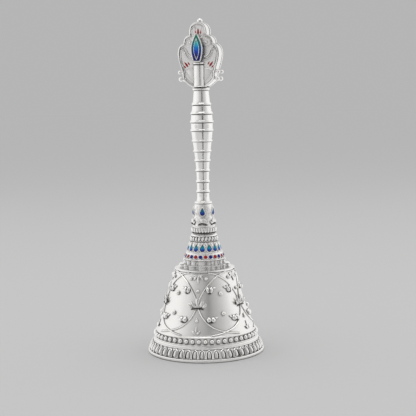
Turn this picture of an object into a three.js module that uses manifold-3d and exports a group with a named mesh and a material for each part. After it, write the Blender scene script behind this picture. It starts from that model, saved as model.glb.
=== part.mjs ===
// A silver ornamental handbell: a cast bell with applied lotus bosses, a stack of collars
// clamped on one tie rod, a ringed grip, a flame-jewel finial, and a clapper on a swivel eye.
// Millimetres, +Z up. The origin is the centre of the rim's foot, and the front faces -Y.
import * as THREE from "three";
import { mergeVertices } from "three/addons/utils/BufferGeometryUtils.js";
import Module from "manifold-3d";

const wasm = await Module();
wasm.setup();

// ---------------------------------------------------------------- driving dimensions

// Fits
const FIT_GAP = 0.3; // running and assembly clearance
const SEAT_GAP = 0.1; // solder or cement line under an applied piece
const WELD = 0.25; // how far the shapes of one piece run into each other before they are joined
const CUT_MARGIN = 1; // how far a cutting tool runs past the face that it opens

// Bell casting
const MOUTH_RADIUS = 36.5; // widest point of the rim
const BELL_HEIGHT = 53; // foot of the rim to the crown table
const SHOULDER_RADIUS = 18.6; // at the twin wires under the crown
const RIM_WALL = 2.75; // width of the flat foot
const WAIST_WALL = 2.5;
const CROWN_WALL = 2.75;
const RIM_HEIGHT = 7.5; // gadrooned border, foot to its top edge
const BEAD_HEIGHT = 11.75; // centre of the bead row
const BEAD_RADIUS = 1.5;
const WAIST_FOOT = 15; // height where the smooth waist starts
const LOTUS_COUNT = 5; // columns of ornament round the waist
const LOTUS_WIDTH = 9.2;
const LOTUS_HEIGHT = 5.6;
const LOTUS_PROUD = 2.2;
const LOTUS_FOOT = 31.5; // height of the lotus bosses' lower edge

// Stack of collars on the crown, each with its own height and radius
const PLINTH_LOWER = { height: 2.5, radius: 16.4 };
const PLINTH_UPPER = { height: 3, radius: 13.9 };
const PLINTH_ARM = 3.7; // half-width of a plinth's outermost step
const PLINTH_SHOULDER = 0.61; // reach of its corner step, as a share of its radius
const JEWEL_COLLAR = { height: 4.25, foot: 13.1, top: 11.2, jewels: 24 };
const DROP_COLLAR = { height: 6.5, foot: 11.1, top: 9.2 };
const LOTUS_RING = { height: 5.25, radius: 8.8, neck: 7.2 };
const GADROON_RING = { height: 4.25, radius: 8, neck: 6.9 };
const KNOP = { height: 14, radius: 6.5, neck: 6.8, waist: 6.3, top: 5.3 };
const KNOP_BOSS = { count: 5, radius: 2.3, proud: 0.9, height: 3.25 };
const COLLAR_DROPS = { count: 15, width: 2.8, height: 4, thick: 0.75 };
const KNOP_DROPS = { count: 5, width: 2.8, height: 4.9, thick: 0.75, level: 9.6 };

// Grip
const GRIP_HEIGHT = 70.25;
const GRIP_FLARE = { radius: 5.45, height: 1.25 }; // lip at the foot
const RING_PROUD = 0.56; // lip rings above the body
const RING_LIP = 1; // height of a ring's straight lip
const RING_SLOPE = 0.8; // height of its slope back to the body
const FERRULE = { height: 2, radius: 5.35, neck: 4.6 };

// Finial
const FINIAL_HEIGHT = 39.75; // lobed plates, foot to crest
const FINIAL_HALF_WIDTH = 13.35; // widest point of the plates
const FINIAL_DEPTH = 9; // front face to back face
const PLATE_THICK = 1.6;
const BAND_INSET = 0.35; // side band set in from the plates' edge
const BAND_WALL = 1.2;
const TIP = { radius: 1.75, height: 2.6, stem: 0.8 };
const PILASTER = { radius: 3.75, sink: 1.5, height: 13.25, cap: 0.75, capOver: 0.4 }; // sink: axis to face
const FLAME = { foot: 15.4, height: 16.4, halfWidth: 3.4, thick: 1.8, standOff: 2 };
const FLAME_WIRE = 0.55; // width of the setting's outer and inner wires
const FLAME_RING = 0.9; // width of the outer enamel cell
const POINT_STRETCH = 3.2; // height that a pointed oval loses for each millimetre off its half-width
const CELL_DEPTH = 0.7;
const FLAME_STEM = { radius: 1, level: 0.4 }; // level is a share of the flame's height
const SOCKET = { height: 9, roof: 1.7 }; // it fills the hollow between the plates
const BALL_STEM = 0.9; // thickness of the stems under the scroll balls

// Tie rod and clapper gear
const ROD_RADIUS = 1.5;
const WASHER = { radius: 6.5, height: 1 };
const NUT = { acrossFlats: 9, height: 5.5, thread: 2.75 };
const SWIVEL_HEAD = { radius: 2.7, height: 1.5 };
const SWIVEL_CAP = { radius: 4.2, height: 1.25 };
const SHANK_RADIUS = 1.2;
const SWIVEL_RING = { radius: 2.3, wire: 0.75 };
const CLAPPER_EYE = { radius: 2.05, wire: 0.7 };
const BALL_CLEAR = 2.25; // lowest point of the ball above the rim's foot
const CLAPPER_ROD = 1.2;
const BALL_RADIUS = 7.3;
const BALL_SOCKET = 4; // depth of the rod's hole in the ball

// Small turns of the clamped pieces about the tie rod, in degrees from the bell's front
const PLINTH_TURN = 11;
const KNOP_TURN = 5;
const FINIAL_TURN = -6;

// Facets of the turned pieces
const BELL_FACETS = 60;
const ROUND_FACETS = 24;
const KNOP_FACETS = 30;

// ---------------------------------------------------------------- levels along the axis

const stackHeights = [PLINTH_LOWER, PLINTH_UPPER, JEWEL_COLLAR, DROP_COLLAR, LOTUS_RING, GADROON_RING];
const stackLevels = stackHeights.reduce(
  (levels, piece) => [...levels, levels.at(-1) + piece.height],
  [BELL_HEIGHT],
);
const [PLINTH_LOWER_Z, PLINTH_UPPER_Z, JEWEL_Z, DROP_Z, LOTUS_RING_Z, GADROON_Z, KNOP_Z] = stackLevels;
const GRIP_Z = KNOP_Z + KNOP.height;
const FERRULE_Z = GRIP_Z + GRIP_HEIGHT;
const FINIAL_Z = FERRULE_Z + FERRULE.height;

const CROWN_INSIDE = BELL_HEIGHT - CROWN_WALL;
const NUT_TOP = CROWN_INSIDE - WASHER.height;
const NUT_FOOT = NUT_TOP - NUT.height;
const CAP_FOOT = NUT_FOOT - SWIVEL_CAP.height;
const SWIVEL_RING_Z = CAP_FOOT - 2 * FIT_GAP - SWIVEL_RING.wire - SWIVEL_RING.radius;
const SWING_Z = SWIVEL_RING_Z - SWIVEL_RING.radius; // axis of the clapper's swing
const CLAPPER_EYE_Z = SWING_Z + SWIVEL_RING.wire + FIT_GAP + CLAPPER_EYE.wire - CLAPPER_EYE.radius;
const BALL_Z = BALL_CLEAR + BALL_RADIUS;

const ROD_BORE = ROD_RADIUS + FIT_GAP;
const ROD_FOOT = NUT_TOP - NUT.thread + FIT_GAP;
const ROD_TOP = FINIAL_Z + SOCKET.height - SOCKET.roof - FIT_GAP;

// ---------------------------------------------------------------- materials

const finish = (color, roughness, metalness) =>
  new THREE.MeshStandardMaterial({ color, roughness, metalness });
const satinSilver = finish("#c6c5c2", 0.3, 1);
const brightSilver = finish("#dcdbd8", 0.18, 1);
const darkSteel = finish("#6f6d6a", 0.4, 1);
const clapperBrass = finish("#a98a4c", 0.35, 1);
const tealEnamel = finish("#0a7f96", 0.1, 0);
const navyEnamel = finish("#0a2f9a", 0.1, 0);

// ---------------------------------------------------------------- shape helpers

const bell = new THREE.Group();

function place(parent, name, geometry, material) {
  const mesh = new THREE.Mesh(geometry, material);
  mesh.name = name;
  parent.add(mesh);
  return mesh;
}

function turnedGroup(degrees) {
  const group = new THREE.Group();
  group.rotation.z = THREE.MathUtils.degToRad(degrees);
  bell.add(group);
  return group;
}

// Revolves a closed outline of [radius, height] points, listed up the outside and down the inside.
function turned(points, facets = ROUND_FACETS, startDegrees = 0) {
  const closed = points.map(([r, z]) => new THREE.Vector2(r, z));
  if (points[0][0] > 0) closed.push(closed[0].clone());
  const geometry = new THREE.LatheGeometry(closed, facets, THREE.MathUtils.degToRad(startDegrees));
  return geometry.rotateX(Math.PI / 2);
}

// A ring between a bore and an outer profile that runs from its foot to its top.
function turnedRing(outer, bore, facets, startDegrees) {
  const foot = outer[0][1];
  const top = outer.at(-1)[1];
  return turned([...outer, [bore, top], [bore, foot]], facets, startDegrees);
}

function extruded(shape, depth, curveSegments = 8) {
  return new THREE.ExtrudeGeometry(shape, { depth, curveSegments, bevelEnabled: false });
}

// Stands a flat piece up, facing -Y: its own x stays x, its y becomes height, its depth runs outwards.
function facing(geometry, { distance = 0, height = 0, lean = 0, azimuth = 0 }) {
  return geometry
    .clone()
    .rotateX(Math.PI / 2 - lean)
    .translate(0, -distance, height)
    .rotateZ(THREE.MathUtils.degToRad(azimuth));
}

function solidOf(geometry) {
  const bare = new THREE.BufferGeometry().setAttribute("position", geometry.getAttribute("position"));
  if (geometry.index) bare.setIndex(geometry.index);
  const merged = mergeVertices(bare, 1e-4);
  return new wasm.Manifold(
    new wasm.Mesh({
      numProp: 3,
      vertProperties: merged.attributes.position.array,
      triVerts: new Uint32Array(merged.index.array),
    }),
  );
}

function geometryOf(solid) {
  const mesh = solid.getMesh();
  const geometry = new THREE.BufferGeometry();
  geometry.setAttribute("position", new THREE.BufferAttribute(mesh.vertProperties, 3));
  geometry.setIndex(new THREE.BufferAttribute(mesh.triVerts, 1));
  return geometry.toNonIndexed();
}

function joined(geometries) {
  return geometryOf(geometries.map(solidOf).reduce((whole, piece) => whole.add(piece)));
}

function cut(geometry, tools) {
  return geometryOf(tools.map(solidOf).reduce((rest, tool) => rest.subtract(tool), solidOf(geometry)));
}

// An upright cylinder from one height to another.
function post(radius, foot, top, facets = ROUND_FACETS) {
  return turned([[0, foot], [radius, foot], [radius, top], [0, top]], facets);
}

function teardrop(width, height) {
  const r = width / 2;
  const belly = r - height / 2; // centre of the round end, with the outline centred on its height
  const shape = new THREE.Shape();
  shape.moveTo(0, height / 2);
  shape.quadraticCurveTo(-0.35 * r, belly + 1.5 * r, -r, belly);
  shape.absarc(0, belly, r, Math.PI, 2 * Math.PI, false);
  shape.quadraticCurveTo(0.35 * r, belly + 1.5 * r, 0, height / 2);
  return shape;
}

// A pointed oval standing on y = 0, kept as two mirrored curves.
function marquise(halfWidth, height, foot = 0) {
  const [low, high, top] = [foot + 0.2 * height, foot + 0.6 * height, foot + height];
  const shape = new THREE.Shape();
  shape.moveTo(0, foot);
  shape.bezierCurveTo(1.15 * halfWidth, low, 1.5 * halfWidth, high, 0, top);
  shape.bezierCurveTo(-1.5 * halfWidth, high, -1.15 * halfWidth, low, 0, foot);
  return shape;
}

// ---------------------------------------------------------------- bell casting

// Radius of the smooth waist at a height: a flared curve from the bead row to the shoulder.
const waistCurve = new THREE.CubicBezierCurve(
  new THREE.Vector2(MOUTH_RADIUS - 6, WAIST_FOOT),
  new THREE.Vector2(MOUTH_RADIUS - 11, WAIST_FOOT + 0.33 * (BELL_HEIGHT - WAIST_FOOT)),
  new THREE.Vector2(SHOULDER_RADIUS + 3.6, BELL_HEIGHT - 13),
  new THREE.Vector2(SHOULDER_RADIUS, BELL_HEIGHT - 2.25),
);
const waistPoints = waistCurve.getPoints(8).map((p) => [p.x, p.y]);

function rimProfile() {
  const seat = MOUTH_RADIUS - 3.5; // top edge of the gadrooned border
  const cove = MOUTH_RADIUS - 5; // centre line of the beads
  return [
    [MOUTH_RADIUS - 0.35, 0],
    [MOUTH_RADIUS, 1.25],
    [MOUTH_RADIUS, 2.75],
    [MOUTH_RADIUS - 0.6, RIM_HEIGHT - 3],
    [MOUTH_RADIUS - 1.9, RIM_HEIGHT - 1],
    [seat, RIM_HEIGHT],
    [cove + 0.5, BEAD_HEIGHT - BEAD_RADIUS],
    [cove + BEAD_RADIUS, BEAD_HEIGHT - 0.5 * BEAD_RADIUS],
    [cove + BEAD_RADIUS, BEAD_HEIGHT + 0.5 * BEAD_RADIUS],
    [cove + 0.3, BEAD_HEIGHT + BEAD_RADIUS],
    [cove, WAIST_FOOT - 0.75],
  ];
}

function shoulderProfile() {
  return [
    [SHOULDER_RADIUS + 0.3, BELL_HEIGHT - 1.75],
    [SHOULDER_RADIUS + 0.3, BELL_HEIGHT - 0.75],
    [SHOULDER_RADIUS - 0.6, BELL_HEIGHT],
  ];
}

function innerProfile() {
  const waist = waistCurve.getPoints(6).map((p) => [p.x - WAIST_WALL, p.y]);
  return [
    [MOUTH_RADIUS - 0.35 - RIM_WALL, 0],
    [MOUTH_RADIUS - 1 - RIM_WALL, RIM_HEIGHT / 2],
    [MOUTH_RADIUS - 4.6 - WAIST_WALL, BEAD_HEIGHT],
    ...waist.slice(0, -1),
    [SHOULDER_RADIUS - WAIST_WALL - 0.6, CROWN_INSIDE - 2.5],
    [SHOULDER_RADIUS - WAIST_WALL - 3.6, CROWN_INSIDE],
  ];
}

const outerProfile = [...rimProfile(), ...waistPoints, ...shoulderProfile()];
place(
  bell,
  "bell_shell",
  turned(
    [...outerProfile, [ROD_BORE, BELL_HEIGHT], [ROD_BORE, CROWN_INSIDE], ...innerProfile().reverse()],
    BELL_FACETS,
  ),
  satinSilver,
);

// The lotus bosses are cut to the waist's curve, so their backs follow it.
function lotusBoss() {
  const half = LOTUS_WIDTH / 2;
  const fan = new THREE.Shape();
  fan.moveTo(-0.8 * half, 0);
  fan.quadraticCurveTo(0, 0.12 * LOTUS_HEIGHT, 0.8 * half, 0);
  fan.quadraticCurveTo(1.1 * half, 0.5 * LOTUS_HEIGHT, half, 0.75 * LOTUS_HEIGHT);
  fan.quadraticCurveTo(0.5 * half, 0.8 * LOTUS_HEIGHT, 0, LOTUS_HEIGHT);
  fan.quadraticCurveTo(-0.5 * half, 0.8 * LOTUS_HEIGHT, -half, 0.75 * LOTUS_HEIGHT);
  fan.quadraticCurveTo(-1.1 * half, 0.5 * LOTUS_HEIGHT, -0.8 * half, 0);
  return fan;
}

const bossDepth = LOTUS_PROUD + 3;
const waistSolid = solidOf(
  turned(
    [[0, WAIST_FOOT], ...waistPoints.map(([r, z]) => [r + SEAT_GAP, z]), [0, waistPoints.at(-1)[1]]],
    BELL_FACETS,
  ),
);
const waistRadiusAtLotus = waistPoints.reduce((best, p) =>
  Math.abs(p[1] - LOTUS_FOOT) < Math.abs(best[1] - LOTUS_FOOT) ? p : best,
)[0];
for (let k = 0; k < LOTUS_COUNT; k += 1) {
  const boss = facing(extruded(lotusBoss(), bossDepth, 3), {
    distance: waistRadiusAtLotus + LOTUS_PROUD - bossDepth,
    height: LOTUS_FOOT,
    azimuth: (360 / LOTUS_COUNT) * k,
  });
  place(bell, `lotus_boss_${k + 1}`, geometryOf(solidOf(boss).subtract(waistSolid)), brightSilver);
}

// ---------------------------------------------------------------- plinths

// A square plan with stepped corners, every outer corner on one circle.
function redentedPlan(radius) {
  const arm = PLINTH_ARM;
  const shoulder = PLINTH_SHOULDER * radius;
  const reach = Math.sqrt(radius ** 2 - arm ** 2);
  const side = Math.sqrt(radius ** 2 - shoulder ** 2);
  const quarter = [
    [reach, arm],
    [side, arm],
    [side, shoulder],
    [shoulder, shoulder],
    [shoulder, side],
    [arm, side],
    [arm, reach],
  ];
  const corners = [0, 1, 2, 3].flatMap((turn) => {
    const centre = new THREE.Vector2();
    return quarter.map(([x, y]) => new THREE.Vector2(x, y).rotateAround(centre, (turn * Math.PI) / 2));
  });
  const plan = new THREE.Shape(corners);
  plan.holes.push(new THREE.Path().absarc(0, 0, ROD_BORE, 0, 2 * Math.PI, true));
  return plan;
}

const plinths = turnedGroup(PLINTH_TURN);
place(plinths, "plinth_lower", extruded(redentedPlan(PLINTH_LOWER.radius), PLINTH_LOWER.height), satinSilver)
  .position.z = PLINTH_LOWER_Z;
place(plinths, "plinth_upper", extruded(redentedPlan(PLINTH_UPPER.radius), PLINTH_UPPER.height), satinSilver)
  .position.z = PLINTH_UPPER_Z;

// ---------------------------------------------------------------- collars

place(
  bell,
  "jewel_collar",
  turnedRing(
    [
      [JEWEL_COLLAR.foot - 0.3, JEWEL_Z],
      [JEWEL_COLLAR.foot, JEWEL_Z + 0.75],
      [JEWEL_COLLAR.top, JEWEL_Z + JEWEL_COLLAR.height - 0.5],
      [JEWEL_COLLAR.top - 0.3, JEWEL_Z + JEWEL_COLLAR.height],
    ],
    ROD_BORE,
    JEWEL_COLLAR.jewels,
    180 / JEWEL_COLLAR.jewels,
  ),
  satinSilver,
);

const upper = turnedGroup(KNOP_TURN);

// One flat facet for each drop. The lathe starts on a corner, so half a facet turns a flat to the front.
const dropPitch = 360 / COLLAR_DROPS.count;
const apothem = Math.cos(Math.PI / COLLAR_DROPS.count);
place(
  upper,
  "drop_collar",
  turnedRing(
    [
      [DROP_COLLAR.foot / apothem, DROP_Z],
      [DROP_COLLAR.top / apothem, DROP_Z + DROP_COLLAR.height],
    ],
    ROD_BORE,
    COLLAR_DROPS.count,
    dropPitch / 2,
  ),
  satinSilver,
);
const collarLean = Math.atan((DROP_COLLAR.foot - DROP_COLLAR.top) / DROP_COLLAR.height);
const collarDrop = extruded(teardrop(COLLAR_DROPS.width, COLLAR_DROPS.height), COLLAR_DROPS.thick, 4);
for (let k = 0; k < COLLAR_DROPS.count; k += 1) {
  const drop = facing(collarDrop, {
    distance: (DROP_COLLAR.foot + DROP_COLLAR.top) / 2 + SEAT_GAP,
    height: DROP_Z + DROP_COLLAR.height / 2,
    lean: collarLean,
    azimuth: dropPitch * k,
  });
  place(upper, `collar_drop_${String(k + 1).padStart(2, "0")}`, drop, tealEnamel);
}

place(
  upper,
  "lotus_ring",
  turnedRing(
    [
      [LOTUS_RING.radius - 0.6, LOTUS_RING_Z],
      [LOTUS_RING.radius, LOTUS_RING_Z + 1.25],
      [LOTUS_RING.radius, LOTUS_RING_Z + 2.5],
      [LOTUS_RING.radius - 0.9, LOTUS_RING_Z + 4],
      [LOTUS_RING.neck, LOTUS_RING_Z + LOTUS_RING.height],
    ],
    ROD_BORE,
    KNOP_FACETS,
  ),
  satinSilver,
);

place(
  upper,
  "gadroon_ring",
  turnedRing(
    [
      [GADROON_RING.neck + 0.3, GADROON_Z],
      [GADROON_RING.radius - 0.25, GADROON_Z + 0.75],
      [GADROON_RING.radius, GADROON_Z + 2],
      [GADROON_RING.radius - 0.25, GADROON_Z + 3.25],
      [GADROON_RING.neck, GADROON_Z + GADROON_RING.height],
    ],
    ROD_BORE,
    KNOP_FACETS,
  ),
  satinSilver,
);

// ---------------------------------------------------------------- knop

const knopBody = turnedRing(
  [
    [KNOP.neck, KNOP_Z],
    [KNOP.neck, KNOP_Z + 4],
    [KNOP.waist, KNOP_Z + 7],
    [KNOP.radius, KNOP_Z + 9.25],
    [KNOP.radius - 0.2, KNOP_Z + 11],
    [KNOP.top, KNOP_Z + KNOP.height],
  ],
  ROD_BORE,
  KNOP_FACETS,
  180 / KNOP_FACETS,
);
const knopBosses = Array.from({ length: KNOP_BOSS.count }, (_, k) =>
  new THREE.SphereGeometry(KNOP_BOSS.radius, 12, 8)
    .rotateX(Math.PI / 2)
    .translate(0, KNOP_BOSS.radius - KNOP.neck - KNOP_BOSS.proud, KNOP_Z + KNOP_BOSS.height)
    .rotateZ((2 * Math.PI * k) / KNOP_BOSS.count),
);
place(upper, "knop", joined([knopBody, ...knopBosses]), satinSilver);

const knopDrop = extruded(teardrop(KNOP_DROPS.width, KNOP_DROPS.height), KNOP_DROPS.thick, 4);
for (let k = 0; k < KNOP_DROPS.count; k += 1) {
  const drop = facing(knopDrop, {
    distance: KNOP.radius + SEAT_GAP,
    height: KNOP_Z + KNOP_DROPS.level,
    azimuth: (360 / KNOP_DROPS.count) * k,
  });
  place(upper, `knop_drop_${k + 1}`, drop, navyEnamel);
}

// ---------------------------------------------------------------- grip and ferrule

// Body radius at stations along the grip, from its foot (0) to its top (1).
const gripBody = new THREE.SplineCurve(
  [
    [0, 3.85],
    [0.16, 3.74],
    [0.33, 4.14],
    [0.49, 5.31],
    [0.62, 6.45],
    [0.7, 6.76],
    [0.78, 6.55],
    [0.9, 5.3],
    [1, 4.6],
  ].map(([along, radius]) => new THREE.Vector2(along * GRIP_HEIGHT, radius)),
);
const gripTable = gripBody.getPoints(80);
function gripRadius(height) {
  const next = gripTable.findIndex((p) => p.x >= height);
  const [a, b] = [gripTable[Math.max(next - 1, 0)], gripTable[Math.max(next, 1)]];
  return a.y + ((b.y - a.y) * (height - a.x)) / (b.x - a.x);
}

// Hand-spaced lip rings, as shares of the grip's height.
const RING_STATIONS = [0.111, 0.2, 0.298, 0.386, 0.47, 0.559, 0.652, 0.727, 0.801, 0.88];

function gripProfile() {
  const profile = [
    [GRIP_FLARE.radius - 0.4, 0],
    [GRIP_FLARE.radius, 0.25],
    [GRIP_FLARE.radius, GRIP_FLARE.height],
    [gripRadius(3), 3],
  ];
  for (const station of RING_STATIONS) {
    const foot = station * GRIP_HEIGHT - RING_LIP / 2;
    const lip = gripRadius(station * GRIP_HEIGHT) + RING_PROUD;
    const top = foot + RING_LIP + RING_SLOPE;
    profile.push([gripRadius(foot), foot], [lip, foot], [lip, foot + RING_LIP], [gripRadius(top), top]);
  }
  profile.push([gripRadius(GRIP_HEIGHT), GRIP_HEIGHT]);
  return profile.map(([r, z]) => [r, z + GRIP_Z]);
}

place(bell, "handle_grip", turnedRing(gripProfile(), ROD_BORE), satinSilver);

place(
  bell,
  "top_ferrule",
  turnedRing(
    [
      [FERRULE.neck, FERRULE_Z],
      [FERRULE.radius, FERRULE_Z + 0.25],
      [FERRULE.radius, FERRULE_Z + 1.25],
      [FERRULE.neck, FERRULE_Z + FERRULE.height],
    ],
    ROD_BORE,
  ),
  satinSilver,
);

// ---------------------------------------------------------------- finial

const finial = turnedGroup(FINIAL_TURN);
const faceDistance = FINIAL_DEPTH / 2;
const pilasterAxis = faceDistance - PILASTER.sink;
const socketRadius = faceDistance - PLATE_THICK - FIT_GAP;
const front = (geometry) => facing(geometry, {});
const back = (geometry) => facing(geometry, { azimuth: 180 });

// Three pairs of lobes under a crest, a given distance inside the plates' own outline.
function lobedOutline(inset = 0) {
  const w = (share) => share * (FINIAL_HALF_WIDTH - inset);
  const h = (share) => 0.5 * FINIAL_HEIGHT + (share - 0.5) * (FINIAL_HEIGHT - 2 * inset);
  const half = new THREE.Shape();
  half.moveTo(0, h(0));
  half.lineTo(w(0.33), h(0));
  half.quadraticCurveTo(w(0.62), h(0.05), w(0.76), h(0.12));
  half.lineTo(w(0.78), h(0.22));
  half.bezierCurveTo(w(0.88), h(0.33), w(1), h(0.42), w(1), h(0.51));
  half.bezierCurveTo(w(1), h(0.6), w(0.88), h(0.655), w(0.7), h(0.665));
  half.bezierCurveTo(w(0.7), h(0.74), w(0.6), h(0.79), w(0.39), h(0.795));
  half.bezierCurveTo(w(0.42), h(0.9), w(0.37), h(0.99), 0, h(1));
  // The left side is the right side's points, mirrored and walked back down.
  const right = half.getPoints(5);
  const left = right.slice(1, -1).map((p) => new THREE.Vector2(-p.x, p.y));
  return new THREE.Shape([...right, ...left.reverse()]);
}

// Two scroll balls on short stems stand out of each lower corner of a plate.
const scrollBalls = [
  { x: 0.93 * FINIAL_HALF_WIDTH, z: 9.2, radius: 1.1 },
  { x: 0.88 * FINIAL_HALF_WIDTH, z: 5, radius: 1.35 },
];

function finialPlate() {
  const middle = PLATE_THICK / 2;
  const pieces = [extruded(lobedOutline(), PLATE_THICK)];
  for (const sign of [-1, 1]) {
    for (const { x, z, radius } of scrollBalls) {
      const stem = new THREE.BoxGeometry(4, BALL_STEM, BALL_STEM).translate(sign * (x - 2), z, middle);
      const ball = new THREE.SphereGeometry(radius, 10, 6).translate(sign * x, z, middle);
      pieces.push(stem, ball);
    }
  }
  return joined(pieces).translate(0, FINIAL_Z, faceDistance - PLATE_THICK);
}

const plate = finialPlate();
place(finial, "finial_front_plate", front(plate), satinSilver);
place(finial, "finial_back_plate", back(plate), satinSilver);

// The side band is a lobed strip between the plates, open below for the socket and above for the tip.
const bandDepth = FINIAL_DEPTH - 2 * PLATE_THICK - 2 * SEAT_GAP;
const bandShape = lobedOutline(BAND_INSET);
bandShape.holes.push(new THREE.Path(lobedOutline(BAND_INSET + BAND_WALL).getPoints().reverse()));
const bandBlock = front(extruded(bandShape, bandDepth).translate(0, FINIAL_Z, -bandDepth / 2));
const crest = FINIAL_Z + FINIAL_HEIGHT - BAND_INSET;
const tipStem = 2 * BAND_WALL; // the tip's stem goes through the band with as much again below it
place(
  finial,
  "finial_band",
  cut(bandBlock, [
    post(socketRadius + FIT_GAP, FINIAL_Z - CUT_MARGIN, FINIAL_Z + SOCKET.height),
    post(TIP.stem + FIT_GAP, crest - tipStem - FIT_GAP, crest + CUT_MARGIN, 12),
  ]),
  brightSilver,
);

place(
  finial,
  "finial_socket",
  turned([
    [ROD_BORE, FINIAL_Z],
    [socketRadius, FINIAL_Z],
    [socketRadius, FINIAL_Z + SOCKET.height],
    [0, FINIAL_Z + SOCKET.height],
    [0, ROD_TOP + FIT_GAP],
    [ROD_BORE, ROD_TOP + FIT_GAP],
    [ROD_BORE, FINIAL_Z],
  ]),
  darkSteel,
);

place(
  finial,
  "finial_tip",
  turned(
    [
      [0, crest - tipStem],
      [TIP.stem, crest - tipStem],
      [TIP.stem, crest + SEAT_GAP],
      [TIP.radius, crest + SEAT_GAP],
      [TIP.radius, crest + 0.45 * TIP.height],
      [0.55 * TIP.radius, crest + 0.85 * TIP.height],
      [0, crest + TIP.height],
    ],
    16,
  ),
  brightSilver,
);

// A pilaster is the part of a round column that stands out of the plate, with a wider cap.
function columnSlice(radius) {
  const chord = faceDistance + SEAT_GAP - pilasterAxis;
  const start = Math.asin(chord / radius);
  const arc = new THREE.Path().absarc(0, pilasterAxis, radius, start, Math.PI - start);
  return new THREE.Shape(arc.getPoints(6));
}

function pilaster() {
  const shaft = extruded(columnSlice(PILASTER.radius), PILASTER.height);
  const cap = extruded(columnSlice(PILASTER.radius + PILASTER.capOver), PILASTER.cap + WELD);
  return joined([shaft, cap.translate(0, 0, PILASTER.height - WELD)])
    .translate(0, 0, FINIAL_Z)
    .rotateZ(Math.PI);
}

place(finial, "pilaster_front", pilaster(), brightSilver);
place(finial, "pilaster_back", pilaster().rotateZ(Math.PI), brightSilver);

// The flame setting is a pointed oval with two enamel cells, held off the plate by a short stem.
const inside = ({ halfWidth, height }, margin) => ({
  halfWidth: halfWidth - margin,
  height: height - POINT_STRETCH * margin,
});
const ringOuter = inside(FLAME, FLAME_WIRE);
const ringInner = inside(ringOuter, FLAME_RING);
const heart = inside(ringInner, FLAME_WIRE);

function centred(oval, grow = 0) {
  const { halfWidth, height } = inside(oval, -grow);
  return marquise(halfWidth, height, (FLAME.height - height) / 2);
}

function ovalRing(grow = 0) {
  const shape = centred(ringOuter, grow);
  shape.holes.push(new THREE.Path(centred(ringInner, -grow).getPoints(6).reverse()));
  return shape;
}

const flameFoot = FINIAL_Z + FLAME.foot;
const flameBack = faceDistance + FLAME.standOff;
const flameFace = flameBack + FLAME.thick;
const flameBody = extruded(marquise(FLAME.halfWidth, FLAME.height), FLAME.thick, 6);
flameBody.translate(0, flameFoot, flameBack);
const flameCells = [ovalRing(SEAT_GAP), centred(heart, SEAT_GAP)].map((cell) =>
  extruded(cell, CELL_DEPTH + CUT_MARGIN, 6).translate(0, flameFoot, flameFace - CELL_DEPTH),
);
const stemLength = FLAME.standOff + WELD - SEAT_GAP;
const flameStem = new THREE.CylinderGeometry(FLAME_STEM.radius, FLAME_STEM.radius, stemLength, 12)
  .rotateX(Math.PI / 2)
  .translate(0, flameFoot + FLAME_STEM.level * FLAME.height, flameBack + WELD - stemLength / 2);
const flameSetting = cut(joined([flameBody, flameStem]), flameCells);
const inlayThick = CELL_DEPTH - SEAT_GAP;
const inlay = (shape) => extruded(shape, inlayThick, 6).translate(0, flameFoot, flameFace - inlayThick);
const flameRing = inlay(ovalRing());
const flameHeart = inlay(centred(heart));

for (const [side, stand] of [["front", front], ["back", back]]) {
  place(finial, `flame_setting_${side}`, stand(flameSetting), brightSilver);
  place(finial, `flame_ring_${side}`, stand(flameRing), navyEnamel);
  place(finial, `flame_heart_${side}`, stand(flameHeart), tealEnamel);
}

// ---------------------------------------------------------------- tie rod and clapper gear

place(bell, "tie_rod", post(ROD_RADIUS, ROD_FOOT, ROD_TOP, 16), darkSteel);

place(
  bell,
  "crown_washer",
  turnedRing([[WASHER.radius, NUT_TOP], [WASHER.radius, CROWN_INSIDE]], ROD_BORE),
  darkSteel,
);

// A hexagon nut with the rod's thread above and a round pocket for the swivel head below.
const pocketTop = NUT_TOP - NUT.thread;
const pocketRadius = SWIVEL_HEAD.radius + FIT_GAP;
const nutBlock = post(NUT.acrossFlats / Math.sqrt(3), NUT_FOOT, NUT_TOP, 6);
place(
  bell,
  "crown_nut",
  cut(nutBlock, [
    post(ROD_BORE, pocketTop - CUT_MARGIN, NUT_TOP + CUT_MARGIN),
    post(pocketRadius, NUT_FOOT - CUT_MARGIN, pocketTop),
  ]),
  darkSteel,
);

place(
  bell,
  "swivel_cap",
  turnedRing([[SWIVEL_CAP.radius, CAP_FOOT], [SWIVEL_CAP.radius, NUT_FOOT]], SHANK_RADIUS + FIT_GAP),
  darkSteel,
);

// Wire rings are tori: the swivel's stands across the bell, the clapper's along it.
function wireRing({ radius, wire }, height) {
  return new THREE.TorusGeometry(radius, wire, 10, 20).rotateX(Math.PI / 2).translate(0, 0, height);
}

const headFoot = NUT_FOOT + FIT_GAP;
place(
  bell,
  "swivel_eye",
  joined([
    post(SWIVEL_HEAD.radius, headFoot, headFoot + SWIVEL_HEAD.height),
    post(SHANK_RADIUS, SWIVEL_RING_Z + SWIVEL_RING.radius - WELD, headFoot + WELD, 16),
    wireRing(SWIVEL_RING, SWIVEL_RING_Z),
  ]),
  brightSilver,
);

const ballTop = BALL_Z + BALL_RADIUS;
const rodEnd = ballTop - BALL_SOCKET + FIT_GAP;
place(
  bell,
  "clapper_rod",
  joined([
    wireRing(CLAPPER_EYE, CLAPPER_EYE_Z).rotateZ(Math.PI / 2),
    post(CLAPPER_ROD, rodEnd, CLAPPER_EYE_Z - CLAPPER_EYE.radius + WELD, 16),
  ]),
  clapperBrass,
);

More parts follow.
